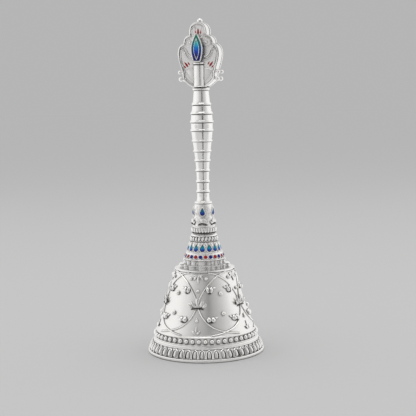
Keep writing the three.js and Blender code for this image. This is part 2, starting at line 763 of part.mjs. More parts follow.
// The ball is a sphere with a blind hole for the rod.
function ballProfile() {
  const hole = CLAPPER_ROD + FIT_GAP;
  const lip = Math.asin(hole / BALL_RADIUS);
  const steps = 10;
  const arc = Array.from({ length: steps + 1 }, (_, i) => {
    const angle = Math.PI - (i * (Math.PI - lip)) / steps;
    return [i === 0 ? 0 : BALL_RADIUS * Math.sin(angle), BALL_Z + BALL_RADIUS * Math.cos(angle)];
  });
  return [...arc, [hole, ballTop - BALL_SOCKET], [0, ballTop - BALL_SOCKET]];
}

place(bell, "clapper_ball", turned(ballProfile()), clapperBrass);

export default bell;
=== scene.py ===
# %% [markdown]
# # A silver ritual handbell
#
# The bell stands mouth down on its rim. A cast, flared bell carries applied lotus flowers,
# vines and pearls. Above it a stack of collars set with enamel is clamped by a hidden rod, then
# comes a ringed grip, and a lobed finial with a flame jewel on each face. Inside hangs a clapper.
#
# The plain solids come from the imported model. Each one that shows is replaced here by a finely
# modelled piece in the same place. Lengths are in millimetres until a piece is finished.

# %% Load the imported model
import math

import bmesh
import bpy
from mathutils import Matrix, Vector


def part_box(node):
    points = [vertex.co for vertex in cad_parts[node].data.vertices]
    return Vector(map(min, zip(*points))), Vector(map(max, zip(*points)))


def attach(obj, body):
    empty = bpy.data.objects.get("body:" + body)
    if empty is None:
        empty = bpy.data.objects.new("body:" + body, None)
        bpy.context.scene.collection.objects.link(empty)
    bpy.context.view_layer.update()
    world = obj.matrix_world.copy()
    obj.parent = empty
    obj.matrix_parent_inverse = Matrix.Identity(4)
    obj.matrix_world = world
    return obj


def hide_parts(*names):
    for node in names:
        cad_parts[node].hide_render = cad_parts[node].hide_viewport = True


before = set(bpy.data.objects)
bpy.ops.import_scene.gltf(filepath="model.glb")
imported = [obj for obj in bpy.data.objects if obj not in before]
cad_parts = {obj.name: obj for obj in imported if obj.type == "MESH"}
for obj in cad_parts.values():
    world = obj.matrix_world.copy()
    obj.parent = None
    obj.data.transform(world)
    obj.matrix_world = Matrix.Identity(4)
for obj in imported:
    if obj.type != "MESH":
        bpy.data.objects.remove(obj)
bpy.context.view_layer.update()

MM = 0.001

# %% [markdown]
# ## Reading places from the model
#
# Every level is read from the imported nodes, so a piece goes exactly where its plain solid is.
# The small turns of the clamped pieces are read from a node's place round the axis. Azimuth 0
# is the front, towards -Y, and it grows towards +X.


# %% Levels and turns
def foot(node):
    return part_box(node)[0].z / MM


def top(node):
    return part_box(node)[1].z / MM


def azimuth_of(node):
    low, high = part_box(node)
    middle = (low + high) / 2
    return math.degrees(math.atan2(middle.x, -middle.y))


RIM_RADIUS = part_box("bell_shell")[1].x / MM
BELL_TOP = top("bell_shell")
COLUMNS = 5
COLUMN_PITCH = 360 / COLUMNS
KNOP_TURN = azimuth_of("collar_drop_01")
FINIAL_TURN = azimuth_of("flame_heart_front")
print(f"rim radius {RIM_RADIUS:.2f}, bell top {BELL_TOP:.2f}")
print(f"turns: knop {KNOP_TURN:.1f}, finial {FINIAL_TURN:.1f}")

# %% [markdown]
# ## Hand tools
#
# Nearly everything on this bell is either turned on a lathe, drawn as wire, or raised as a small
# seed-shaped bump. So there are three tools: `turned` spins a profile round the axis, `wire`
# extrudes a ring along a path, and `seed` spins a small profile and flattens it. Each one
# returns the vertices it made, so that they can be moved afterwards.


# %% The lathe
def made_since(bm, before):
    return [v for v in bm.verts if v not in before]


def full_turn(bm, geometry, axis, steps):
    bmesh.ops.spin(
        bm, geom=geometry, cent=(0, 0, 0), axis=axis, angle=math.tau, steps=steps, use_merge=True
    )


def turned(bm, profile, steps=120, closed=True):
    """Spins a profile of (radius, height) points once round the Z axis."""
    before = set(bm.verts)
    line = [bm.verts.new((r, 0, z)) for r, z in profile]
    pairs = list(zip(line, line[1:]))
    if closed:
        pairs.append((line[-1], line[0]))
    edges = [bm.edges.new(pair) for pair in pairs]
    full_turn(bm, line + edges, (0, 0, 1), steps)
    bmesh.ops.remove_doubles(bm, verts=made_since(bm, before), dist=1e-4)
    return made_since(bm, before)


def raised(level, points):
    """(radius, height) points measured from a level."""
    return [(radius, level + z) for radius, z in points]


def softened(points, radius=0.15, steps=3):
    """Rounds every inner corner of an open outline with a short curve."""
    points = [Vector(p) for p in points]
    out = [points[0]]
    for before, corner, after in zip(points, points[1:], points[2:]):
        reach = min(radius, (corner - before).length * 0.45, (after - corner).length * 0.45)
        a = corner + (before - corner).normalized() * reach
        b = corner + (after - corner).normalized() * reach
        for i in range(steps + 1):
            t = i / steps
            out.append(a * (1 - t) ** 2 + corner * 2 * t * (1 - t) + b * t * t)
    out.append(points[-1])
    return [tuple(p) for p in out]


def smooth_path(points, steps=6, closed=False):
    """A smooth curve through given points."""
    points = [Vector(p) for p in points]
    count = len(points)
    spans = count if closed else count - 1
    out = []
    for i in range(spans):
        around = [i - 1, i, i + 1, i + 2]
        if closed:
            a, b, c, d = (points[k % count] for k in around)
        else:
            a, b, c, d = (points[min(max(k, 0), count - 1)] for k in around)
        for k in range(steps):
            t = k / steps
            bend = (2 * a - 5 * b + 4 * c - d) * t * t + (3 * b - a - 3 * c + d) * t**3
            out.append(b + 0.5 * ((c - a) * t + bend))
    if not closed:
        out.append(points[-1])
    return out


# %% Wire and seeds
def wire(bm, path, radius, sides=8, closed=False, taper=None):
    """Extrudes a ring from each point of a path to the next. taper gives the thickness along it."""
    before = set(bm.verts)
    path = [Vector(p).to_3d() for p in path]
    count = len(path)
    turn = None
    frames = []
    for i, point in enumerate(path):
        ahead = path[(i + 1) % count] if closed or i + 1 < count else point
        behind = path[i - 1] if closed or i > 0 else point
        along = (ahead - behind).normalized()
        if turn is None:
            turn = Vector((0, 0, 1)).rotation_difference(along).to_matrix()
        else:
            turn = last.rotation_difference(along).to_matrix() @ turn
        last = along
        size = taper(i / (count - 1)) if taper else 1
        frames.append(Matrix.Translation(point) @ turn.to_4x4() @ Matrix.Scale(size, 4))
    ring = bmesh.ops.create_circle(
        bm, segments=sides, radius=radius, cap_ends=not closed, matrix=frames[0]
    )["verts"]
    edges = list({e for v in ring for e in v.link_edges})
    first = list(edges)
    for here, there in zip(frames, frames[1:]):
        made = bmesh.ops.extrude_edge_only(bm, edges=edges)["geom"]
        verts = [g for g in made if isinstance(g, bmesh.types.BMVert)]
        ring_set = set(verts)
        edges = [g for g in made if isinstance(g, bmesh.types.BMEdge) and set(g.verts) <= ring_set]
        bmesh.ops.transform(bm, matrix=there @ here.inverted(), verts=verts)
    if closed:
        bmesh.ops.bridge_loops(bm, edges=first + edges)
    else:
        bmesh.ops.contextual_create(bm, geom=edges)
    return made_since(bm, before)


def seed(bm, outline, flat=1.0, steps=10):
    """Spins (half-width, along) points round the Y axis, then flattens the shape to lie face up."""
    before = set(bm.verts)
    line = [bm.verts.new((w, y, 0)) for w, y in outline]
    edges = [bm.edges.new(pair) for pair in zip(line, line[1:])]
    full_turn(bm, line + edges, (0, 1, 0), steps)
    bmesh.ops.remove_doubles(bm, verts=made_since(bm, before), dist=1e-5)
    verts = made_since(bm, before)
    bmesh.ops.scale(bm, vec=(1, 1, flat), verts=verts)
    return verts


def petal_outline(width, length, belly=0.4, steps=7):
    """Half outline of a pointed petal, widest at a share of its length."""
    points = []
    for i in range(steps + 1):
        t = i / steps
        rise = t / belly if t < belly else (1 - t) / (1 - belly)
        fullness = math.sin(rise * math.pi / 2) if t < belly else rise ** 0.75 * (2 - rise) ** 0.5
        points.append((max(fullness, 0) * width / 2, t * length))
    points[0] = (0, 0)
    points[-1] = (0, length)
    return points


def about(axis, degrees):
    return Matrix.Rotation(math.radians(degrees), 4, axis)


def moved(bm, verts, x=0, y=0, out=0, tilt=0, lean=0):
    """Leans a flat shape out of its ground, tilts it in its plane, then moves it. Degrees."""
    turn = about("Z", -tilt) @ about("X", lean)
    bmesh.ops.transform(bm, matrix=Matrix.Translation((x, y, out)) @ turn, verts=verts)
    return verts


def petal(bm, width, length, flat=0.5, belly=0.4, steps=10, **place):
    return moved(bm, seed(bm, petal_outline(width, length, belly), flat, steps), **place)


def pearl(bm, radius, x=0, y=0, out=0, detail=3):
    verts = bmesh.ops.create_icosphere(bm, subdivisions=detail, radius=radius)["verts"]
    bmesh.ops.translate(bm, vec=(x, y, out), verts=verts)
    return verts


# %% [markdown]
# ## Flat plates
#
# Some pieces are cut from sheet. `plate` fills an outline, extrudes it and softens its
# front edge with a bevel. Its back lies at zero and its face looks along +Z.


# %% Plates
def verts_of(geometry):
    return [g for g in geometry if isinstance(g, bmesh.types.BMVert)]


def edges_of(geometry):
    return [g for g in geometry if isinstance(g, bmesh.types.BMEdge)]


def plate(bm, outline, thick, soft=0.0, segments=2):
    before = set(bm.verts)
    face = bm.faces.new([bm.verts.new((x, y, 0)) for x, y in outline])
    made = bmesh.ops.extrude_face_region(bm, geom=[face])["geom"]
    bmesh.ops.translate(bm, vec=(0, 0, thick), verts=verts_of(made))
    if soft:
        bevel = dict(offset=soft, offset_type="OFFSET", segments=segments, profile=0.5)
        bmesh.ops.bevel(bm, geom=edges_of(made), affect="EDGES", material=-1, **bevel)
    return made_since(bm, before)


# %% [markdown]
# ## Laying flat work on a round surface
#
# A goldsmith makes small ornaments flat and then presses them onto the bell. `wrapped` does the
# same: a shape's x runs round the surface, its y climbs it and its z stands out of it. The
# surface is given as a function from height to radius.


# %% Wrapping
def wrapped(verts, radius_at, azimuth, height):
    for v in verts:
        x, y, out = v.co
        slope = (radius_at(height + 0.1) - radius_at(height - 0.1)) / 0.2
        rise = 1 / math.hypot(1, slope)
        z = height + y * rise
        turn = math.radians(azimuth) + x / radius_at(z)
        across = radius_at(z) + out * rise
        v.co = (across * math.sin(turn), -across * math.cos(turn), z - out * slope * rise)
    return verts


def surface_point(radius_at, azimuth, height, out=0):
    turn = math.radians(azimuth)
    across = radius_at(height) + out
    return Vector((across * math.sin(turn), -across * math.cos(turn), height))


def standing(verts, azimuth, distance, height):
    """Stands flat work upright, facing outwards at a distance from the axis."""
    move = about("Z", azimuth) @ Matrix.Translation((0, -distance, height)) @ about("X", 90)
    for v in verts:
        v.co = move @ v.co
    return verts


# %% [markdown]
# ## Finishing a piece
#
# A finished piece has its doubles merged, its faces turned outwards and its size changed from
# millimetres to metres. It is shaded smooth, with creases only where two faces meet sharply.
# Then it is told which body it rides on and which finish it takes, and the solids it stands for are
# hidden.

# %% Finishing
finished = []


def finish_piece(bm, name, material, replaces=(), body="bell", crease=38, merge=True):
    if merge:
        bmesh.ops.remove_doubles(bm, verts=bm.verts, dist=2e-4)
    bmesh.ops.recalc_face_normals(bm, faces=bm.faces)
    bmesh.ops.scale(bm, vec=(MM, MM, MM), verts=bm.verts)
    mesh = bpy.data.meshes.new(name)
    bm.to_mesh(mesh)
    bm.free()
    mesh.shade_smooth()
    mesh.set_sharp_from_angle(angle=math.radians(crease))
    mesh.materials.append(material)
    piece = bpy.data.objects.new(name, mesh)
    bpy.context.scene.collection.objects.link(piece)
    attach(piece, body)
    if replaces:
        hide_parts(*replaces)
    finished.append(piece)
    print(f"{name}: {len(mesh.polygons)} faces")
    return piece


# %% [markdown]
# # Finishes
#
# ## Patina and painted shade
#
# Handled silver stays bright where it is rubbed and turns dark where a cloth can't reach. The
# Ambient Occlusion node finds those places: it says how much of the view from a point is
# blocked by nearby metal. A node group turns it into a mask, and breaks the mask up with noise,
# so that the dark lines look grown and not drawn. The mask is partly real oxide and partly
# painted shade: it also darkens the hollows where shade falls.


# %% Node helpers
def group_tree(name, inputs, outputs):
    tree = bpy.data.node_groups.new(name, "ShaderNodeTree")
    for socket, kind, value in inputs:
        made = tree.interface.new_socket(name=socket, in_out="INPUT", socket_type=kind)
        made.default_value = value
    for socket, kind in outputs:
        tree.interface.new_socket(name=socket, in_out="OUTPUT", socket_type=kind)
    return tree, tree.nodes.new("NodeGroupInput"), tree.nodes.new("NodeGroupOutput")


def add(tree, kind, links=(), **settings):
    """Adds a node, sets its properties and inputs by name, and links sources to its inputs."""
    node = tree.nodes.new(kind)
    inputs = settings.pop("inputs", {})
    for key, value in settings.items():
        setattr(node, key, value)
    for key, value in inputs.items():
        node.inputs[key].default_value = value
    for socket, source in dict(links).items():
        tree.links.new(source, node.inputs[socket])
    return node


def math_node(tree, operation, a, b=None, clamp=False):
    node = tree.nodes.new("ShaderNodeMath")
    node.operation = operation
    node.use_clamp = clamp
    for socket, value in zip(node.inputs, (a, b)):
        if isinstance(value, bpy.types.NodeSocket):
            tree.links.new(value, socket)
        elif value is not None:
            socket.default_value = value
    return node.outputs[0]


def mix_colour(tree, factor, a, b, blend="MIX"):
    node = tree.nodes.new("ShaderNodeMix")
    node.data_type = "RGBA"
    node.blend_type = blend
    sockets = {socket.identifier: socket for socket in node.inputs}
    for key, value in (("Factor_Float", factor), ("A_Color", a), ("B_Color", b)):
        if isinstance(value, bpy.types.NodeSocket):
            tree.links.new(value, sockets[key])
        else:
            sockets[key].default_value = value if key == "Factor_Float" else (*value, 1)
    return next(socket for socket in node.outputs if socket.identifier == "Result_Color")


# %% Patina and painted shade group
def make_patina_and_shade():
    tree, inside, outside = group_tree(
        "Patina and painted shade",
        [
            ("Reach", "NodeSocketFloat", 0.001),
            ("Strength", "NodeSocketFloat", 1.0),
            ("Grain", "NodeSocketFloat", 900.0),
        ],
        [("Oxide and shade", "NodeSocketFloat"), ("Cloud", "NodeSocketFloat")],
    )
    place = add(tree, "ShaderNodeTexCoord").outputs["Object"]
    blocked = add(
        tree,
        "ShaderNodeAmbientOcclusion",
        links={"Distance": inside.outputs["Reach"]},
        samples=12,
        only_local=False,
    )
    fine = add(
        tree,
        "ShaderNodeTexNoise",
        links={"Vector": place, "Scale": inside.outputs["Grain"]},
        inputs={"Detail": 3.0, "Roughness": 0.6},
    )
    broad = add(
        tree,
        "ShaderNodeTexNoise",
        links={"Vector": place},
        inputs={"Scale": 70.0, "Detail": 4.0, "Roughness": 0.55},
    )
    shut = math_node(tree, "SUBTRACT", 1.0, blocked.outputs["AO"])
    uneven = math_node(tree, "MULTIPLY_ADD", fine.outputs["Fac"], 0.8)
    uneven.node.inputs[2].default_value = 0.6
    grown = math_node(tree, "MULTIPLY", shut, uneven)
    eased = math_node(tree, "POWER", grown, 1.35)
    strong = math_node(tree, "MULTIPLY", eased, inside.outputs["Strength"], clamp=True)
    tree.links.new(strong, outside.inputs["Oxide and shade"])
    tree.links.new(broad.outputs["Fac"], outside.inputs["Cloud"])
    return tree


patina_and_shade = make_patina_and_shade()
print("group:", patina_and_shade.name, [s.name for s in patina_and_shade.interface.items_tree])

# %% [markdown]
# ## Silver
#
# Silver is a plain metal: its colour is the colour of its reflection, nearly white and a
# little warm. What tells cast silver from chrome is its surface. The finish is never quite even,
# so the roughness drifts with a cloud of noise, the surface carries fine polishing marks, and
# the recesses hold a dark, rough oxide that is also painted shade. The finishes share one
# recipe, each with its own values. The two darkest are painted shade: a dark grey line beside
# the vines, and a near black for the floors of deep cuts.


# %% Silver materials
# Colour of the oxide in the hollows, which also serves as painted shade there.
OXIDE_AND_SHADE_TONE = (0.045, 0.04, 0.036)


def silver(
    name, tone, roughness, oxide_and_shade_tone=OXIDE_AND_SHADE_TONE, reach=0.0011, strength=1.15, marks=0.06, grain=0.0
):
    """reach is how far, in metres, metal nearby darkens a point, and strength how dark it gets."""
    material = bpy.data.materials.new(name)
    material.use_nodes = True
    tree = material.node_tree
    shader = tree.nodes["Principled BSDF"]
    shader.inputs["Metallic"].default_value = 1.0
    ageing_and_shade = add(tree, "ShaderNodeGroup", node_tree=patina_and_shade)
    ageing_and_shade.inputs["Reach"].default_value = reach
    ageing_and_shade.inputs["Strength"].default_value = strength
    hollow_oxide_and_shade, cloud = ageing_and_shade.outputs["Oxide and shade"], ageing_and_shade.outputs["Cloud"]

    cooler = tuple(0.93 * c for c in tone)
    drift = mix_colour(tree, cloud, cooler, tone)
    # Oxide and painted shade darken the hollows.
    aged_and_shaded = mix_colour(tree, hollow_oxide_and_shade, drift, oxide_and_shade_tone)
    tree.links.new(aged_and_shaded, shader.inputs["Base Color"])

    soft = math_node(tree, "MULTIPLY_ADD", cloud, 0.12)
    soft.node.inputs[2].default_value = roughness - 0.06
    dull = math_node(tree, "MULTIPLY_ADD", hollow_oxide_and_shade, 0.3)
    tree.links.new(soft, dull.node.inputs[2])
    tree.links.new(dull, shader.inputs["Roughness"])

    place = add(tree, "ShaderNodeTexCoord").outputs["Object"]
    stretched = add(tree, "ShaderNodeMapping", links={"Vector": place})
    stretched.inputs["Scale"].default_value = (1.0, 1.0, 3.5)
    scratches = add(
        tree,
        "ShaderNodeTexNoise",
        links={"Vector": stretched.outputs["Vector"]},
        inputs={"Scale": 1400.0, "Detail": 2.0, "Roughness": 0.7},
    )
    height = math_node(tree, "MULTIPLY", scratches.outputs["Fac"], marks)
    if grain:
        pits = add(tree, "ShaderNodeTexVoronoi", {"Vector": place}, inputs={"Scale": 1500.0})
        rough = math_node(tree, "MULTIPLY_ADD", pits.outputs["Distance"], grain)
        tree.links.new(height, rough.node.inputs[2])
        height = rough
    depth = {"Strength": 0.5, "Distance": 0.0002}
    bump = add(tree, "ShaderNodeBump", {"Height": height}, inputs=depth)
    tree.links.new(bump.outputs["Normal"], shader.inputs["Normal"])
    return material


satin_silver = silver("Satin silver", (0.86, 0.85, 0.832), 0.32, strength=1.0)
bright_silver = silver("Bright silver", (0.9, 0.892, 0.875), 0.19, marks=0.03, strength=1.5)
step_silver = silver("Bright stepped silver", (0.92, 0.912, 0.9), 0.24, marks=0.03, strength=0.55)
# Dark grey: the painted shade line beside each vine.
vine_shade_silver = silver("Painted vine shade silver", (0.3, 0.285, 0.265), 0.4, marks=0.08)
# Near black: painted shade laid in gaps, slits, grooves and undercuts.
painted_shade_silver = silver("Painted shade silver", (0.09, 0.083, 0.076), 0.45, marks=0.08)
ground_silver = silver(
    "Frosted silver ground", (0.84, 0.83, 0.815), 0.36, strength=1.1, marks=0.08, grain=0.2
)
inner_silver = silver(
    "Unpolished silver", (0.62, 0.605, 0.58), 0.42, reach=0.004, marks=0.12, grain=0.1
)
turned_steel = silver("Turned steel", (0.42, 0.41, 0.40), 0.34, reach=0.002)
clapper_brass = silver(
    "Clapper brass", (0.66, 0.49, 0.24), 0.3, oxide_and_shade_tone=(0.07, 0.045, 0.02), reach=0.0025
)
print("metals:", [m.name for m in bpy.data.materials])

# %% [markdown]
# ## Enamel
#
# Enamel is coloured glass melted onto the silver. In the tall cells the colour runs from green
# at the tip through turquoise to deep blue at the foot. The colour is read from the height of a
# point on the piece, so that every drop of a ring shades alike. The surface is glossy, and fine
# rays engraved in the silver below show through as a faint change of tone.


# %% Enamel group and materials
def make_shading():
    tree, inside, outside = group_tree(
        "Enamel shading",
        [
            ("Foot", "NodeSocketFloat", 0.0),
            ("Height", "NodeSocketFloat", 0.005),
            ("Mottle", "NodeSocketFloat", 0.12),
        ],
        [("Along", "NodeSocketFloat"), ("Depth", "NodeSocketFloat")],
    )
    place = add(tree, "ShaderNodeTexCoord").outputs["Object"]
    split = add(tree, "ShaderNodeSeparateXYZ", links={"Vector": place})
    rise = math_node(tree, "SUBTRACT", split.outputs["Z"], inside.outputs["Foot"])
    share = math_node(tree, "DIVIDE", rise, inside.outputs["Height"])
    uneven = add(
        tree, "ShaderNodeTexNoise", {"Vector": place}, inputs={"Scale": 1100.0, "Detail": 2.0}
    )
    centred = math_node(tree, "SUBTRACT", uneven.outputs["Fac"], 0.5)
    shift = math_node(tree, "MULTIPLY", centred, inside.outputs["Mottle"])
    along = math_node(tree, "ADD", share, shift, clamp=True)
    tree.links.new(along, outside.inputs["Along"])
    rays = add(
        tree,
        "ShaderNodeTexWave",
        links={"Vector": place},
        inputs={"Scale": 900.0, "Distortion": 1.5, "Detail": 1.0},
        bands_direction="DIAGONAL",
    )
    tree.links.new(rays.outputs["Fac"], outside.inputs["Depth"])
    return tree


enamel_shading = make_shading()


def enamel(name, colours, foot_m=0.0, height_m=1.0, mottle=0.1, rays=0.25):
    """colours is a list of (share of the height, colour)."""
    material = bpy.data.materials.new(name)
    material.use_nodes = True
    tree = material.node_tree
    shader = tree.nodes["Principled BSDF"]
    shader.inputs["Roughness"].default_value = 0.14
    shader.inputs["IOR"].default_value = 1.56
    shader.inputs["Coat Weight"].default_value = 0.18
    shader.inputs["Coat Roughness"].default_value = 0.03
    shader.inputs["Specular IOR Level"].default_value = 0.22
    shading = add(tree, "ShaderNodeGroup", node_tree=enamel_shading)
    shading.inputs["Foot"].default_value = foot_m
    shading.inputs["Height"].default_value = height_m
    shading.inputs["Mottle"].default_value = mottle
    ramp = add(tree, "ShaderNodeValToRGB", links={"Fac": shading.outputs["Along"]})
    stops = ramp.color_ramp.elements
    while len(stops) < len(colours):
        stops.new(1.0)
    for stop, (at, colour) in zip(stops, colours):
        stop.position = at
        stop.color = (*colour, 1)
    tone = math_node(tree, "MULTIPLY", shading.outputs["Depth"], rays)
    tinted = mix_colour(tree, tone, ramp.outputs["Color"], (0.35, 0.4, 0.45), blend="MULTIPLY")
    tree.links.new(tinted, shader.inputs["Base Color"])
    return material


NAVY = (0.002, 0.012, 0.20)
TEAL = (0.0, 0.17, 0.14)


def column_of(node):
    """Foot and height of a node in metres, for a colour that follows its height."""
    low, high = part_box(node)
    return low.z, high.z - low.z


drop_enamel = enamel(
    "Collar drop enamel",
    [(0.0, NAVY), (0.22, (0.0, 0.06, 0.42)), (0.5, (0.0, 0.26, 0.42)), (0.85, TEAL)],
    *column_of("collar_drop_01"),
)
knop_enamel = enamel(
    "Knop drop enamel",
    [(0.0, NAVY), (0.3, (0.0, 0.03, 0.3)), (0.6, (0.0, 0.16, 0.3)), (1.0, (0.0, 0.07, 0.08))],
    *column_of("knop_drop_1"),
)
ring_enamel = enamel(
    "Flame ring enamel",
    [
        (0.0, (0.0, 0.002, 0.14)),
        (0.22, (0.0, 0.01, 0.22)),
        (0.5, (0.0, 0.1, 0.3)),
        (0.75, (0.0, 0.2, 0.22)),
        (1.0, (0.0, 0.24, 0.13)),
    ],
    *column_of("flame_ring_front"),
)
heart_enamel = enamel(
    "Flame heart enamel",
    [
        (0.05, NAVY),
        (0.3, (0.0, 0.05, 0.5)),
        (0.55, (0.0, 0.24, 0.68)),
        (0.8, (0.0, 0.6, 0.64)),
        (1.0, (0.0, 0.48, 0.4)),
    ],
    *column_of("flame_heart_front"),
)
navy_enamel = enamel("Round blue enamel", [(0.0, (0.002, 0.004, 0.19)), (1.0, (0.004, 0.01, 0.26))])
red_enamel = enamel("Red enamel", [(0.0, (0.36, 0.012, 0.012)), (1.0, (0.42, 0.02, 0.018))])
print("enamels made")

# %% [markdown]
# # The bell
#
# ## The cast wall
#
# The wall is one turned shape: a plain lip, a sloping bed for the gadroons, a grooved band, a
# cove for the beads, a thin raised line, and then the long flare up to the shoulder. The flare
# is a single Bezier curve. The inner side follows it at the wall's thickness, down to the foot.

# %% Waist curve
WAIST_FOOT = 15.0
SHOULDER = 50.75
FLARE = [Vector(p) for p in ((30.5, 15.0), (25.5, 27.54), (22.2, 40.0), (18.6, SHOULDER))]


def bezier(a, b, c, d, steps):
    out = []
    for i in range(steps + 1):
        t = i / steps
        s = 1 - t
        out.append(a * s**3 + b * 3 * s * s * t + c * 3 * s * t * t + d * t**3)
    return out


flare_points = bezier(*FLARE, 60)


def waist(height):
    """Radius of the flared wall at a height."""
    for a, b in zip(flare_points, flare_points[1:]):
        if height <= b.y:
            break
    return a.x + (b.x - a.x) * (height - a.y) / (b.y - a.y)


def from_rim(*points):
    """(distance inside the rim's widest circle, height) points."""
    return [(RIM_RADIUS - inset, z) for inset, z in points]


WALL = 2.5
lip = from_rim(
    (3.1, 0.0), (0.45, 0.0), (0.1, 0.5), (0.0, 1.0), (0.05, 1.75), (0.5, 2.1), (1.3, 2.25)
)
gadroon_bed = from_rim((1.4, 2.6), (2.0, 4.6), (3.3, 6.6), (3.75, 7.15))
grooved_band = from_rim((3.3, 7.5), (3.3, 7.95), (3.75, 8.15), (3.7, 8.4), (3.85, 9.4), (4.2, 9.55))
grooved_band += from_rim((4.05, 9.75), (4.2, 10.15))
bead_cove = from_rim((4.9, 10.45), (5.35, 11.2), (5.5, 12.2), (5.4, 13.2))
raised_line = from_rim((5.2, 13.6), (5.0, 14.05), (5.15, 14.45), (5.7, 14.75))
crown = [(18.35, 51.6), (18.3, 52.6), (17.7, BELL_TOP), (2.0, BELL_TOP)]
CROWN_INSIDE = 50.25
inside_flare = [(p.x - WALL, p.y) for p in reversed(flare_points[:-4:4])]
inside = [(2.0, CROWN_INSIDE), (12.2, CROWN_INSIDE), (15.0, 48.9), *inside_flare]
inside += [(29.3, 11.75), (32.2, 5.0), *from_rim((3.3, 0.6), (3.1, 0.0))]
outer = softened(lip + gadroon_bed + grooved_band + bead_cove + raised_line, 0.25)
bell_profile = outer + [tuple(p) for p in flare_points[1:-1]] + softened(crown, 0.4)
bell_profile += softened(inside, 0.8)[:-1]
wall = bmesh.new()
turned(wall, bell_profile, steps=180)
bell_wall = finish_piece(wall, "bell_wall", satin_silver, ["bell_shell"])
bell_wall.data.materials.append(inner_silver)
for face in bell_wall.data.polygons:
    across, height = face.center.xy.length / MM, face.center.z / MM
    skin = waist(height) - 1 if height > WAIST_FOOT else RIM_RADIUS - 2.9 - 0.27 * height
    face.material_index = 1 if across < skin and height < CROWN_INSIDE + 0.1 else 0
print("inner faces:", sum(face.material_index for face in bell_wall.data.polygons))

# %% [markdown]
# ## The gadrooned border
#
# Fifty tongues stand round the rim, each inside a thin raised arch. The bed they lie on slopes
# inwards, so they are made flat and wrapped onto it. A tongue is a seed shape cut off square at
# its foot, and a narrow gap at each side of it holds a dark strip of painted shade.

# %% Gadroons
GADROONS = 50


def rim_bed(height):
    """Radius of the border's bed at a height, a little under the tongues."""
    return RIM_RADIUS - 0.95 - 0.36 * (height - 2.5) - 0.035 * (height - 2.5) ** 2


tongue_outline = [(0, 0), (0.85, 0.02), (1.1, 0.35), (1.14, 1.5), (1.02, 2.9), (0.66, 3.75)]
tongue_outline.append((0, 4.1))
arch = smooth_path([(-1.86, -0.3, 0.2), (-1.8, 2.0, 0.4), (-1.3, 3.9, 0.4), (0, 4.85, 0.35)], 3)
arch += [Vector((-p.x, p.y, p.z)) for p in reversed(arch[:-1])]
tongues = bmesh.new()
arches = bmesh.new()
gaps = bmesh.new()
for k in range(GADROONS):
    azimuth = 360 / GADROONS * k
    tongue = moved(tongues, seed(tongues, tongue_outline, flat=0.62, steps=12), y=0.35, out=-0.05)
    wrapped(tongue, rim_bed, azimuth, 2.55)
    wrapped(wire(arches, arch, 0.31, sides=6), rim_bed, azimuth, 2.55)
    # A dark strip at each side of a tongue paints the shade in its gap.
    gap = [(-0.2, 0.1), (0.2, 0.1), (0.16, 3.4), (-0.16, 3.4)]
    for side in (-1, 1):
        strip = moved(gaps, plate(gaps, gap, 0.16), x=1.36 * side, out=0.0, tilt=-2.5 * side)
        wrapped(strip, rim_bed, azimuth, 2.6)
finish_piece(tongues, "rim_tongues", satin_silver)
finish_piece(arches, "rim_arches", bright_silver, merge=False)
finish_piece(gaps, "rim_gap_shade", painted_shade_silver, merge=False)

# %% [markdown]
# ## The bead row
#
# Fifty round beads lie in the cove above the border, with a fine thread of tiny grains
# between each pair, as a soldered bead wire has.

# %% Beads
BEADS = 50
BEAD_PITCH = 360 / BEADS
BEAD_LEVEL = 11.85
BEAD_REACH = RIM_RADIUS - 4.95
beads = bmesh.new()
for k in range(BEADS):
    azimuth = BEAD_PITCH * (k + 0.5)
    bead = pearl(beads, 1.4)
    bmesh.ops.scale(beads, vec=(1.0, 1.04, 1.0), verts=bead)
    standing(bead, azimuth, BEAD_REACH, BEAD_LEVEL)
    for side, level in ((-1, 0.95), (1, -0.95)):
        grain = pearl(beads, 0.3, detail=1)
        standing(grain, azimuth + BEAD_PITCH / 2, BEAD_REACH + 0.35, BEAD_LEVEL + level * side)
finish_piece(beads, "rim_beads", bright_silver)

# %% [markdown]
# ## Vines
#
# From each lotus two wires climb to the shoulder and two fall to the rim. Each wire crosses its
# neighbour on the middle line of a panel and then melts into the band. So the waist is divided
# into five oval panels. The route is drawn once as (azimuth, height) points and mirrored.
# A second wire, sunk in the wall under the first, shows as a fine dark line of painted shade at
# each side.

# %% Vine wires
VINE_UP = [(1.6, 34.5), (3.6, 37.2), (7.2, 39.9), (14, 43.5), (22, 46.6), (35, 49.7)]
VINE_UP += [(46, 51.3), (54, 51.9)]
VINE_DOWN = [(0.9, 31.6), (4.0, 28.4), (8.5, 25.0), (17.3, 20.9), (26.2, 18.5), (36, 17.0)]
VINE_DOWN += [(46, 15.9), (54, 15.3)]


def waist_safe(height):
    return waist(min(max(height, WAIST_FOOT), SHOULDER))


vines = bmesh.new()
# Sunk dark wires, a painted shade line along each vine.
vine_shade_lines = bmesh.new()
for column in range(COLUMNS):
    for route in (VINE_UP, VINE_DOWN):
        for side in (-1, 1):
            line = smooth_path([(a, h, 0) for a, h in route], 5)
            line = [(COLUMN_PITCH * column + side * p.x, p.y) for p in line]
            for bm, out, radius in ((vines, 0.2, 0.5), (vine_shade_lines, -0.42, 0.8)):
                path = [surface_point(waist_safe, *place, out) for place in line]
                wire(bm, path, radius, sides=8, taper=lambda t: 1 - 0.3 * t**3)
for level, reach in ((51.35, 18.55), (52.5, 18.4)):
    path = [surface_point(lambda z: reach, a, level) for a in range(0, 360, 3)]
    wire(vines, path, 0.42, closed=True)
finish_piece(vines, "vine_wires", bright_silver, merge=False)
finish_piece(vine_shade_lines, "vine_shade_lines", vine_shade_silver, merge=False)

# %% [markdown]
# ## The lotus flowers
#
# A flower has five pointed petals that spread like a fan and lean a little out of the wall. Each
# has a raised rib down its middle. Under them is a thin dark crescent of painted shadow.

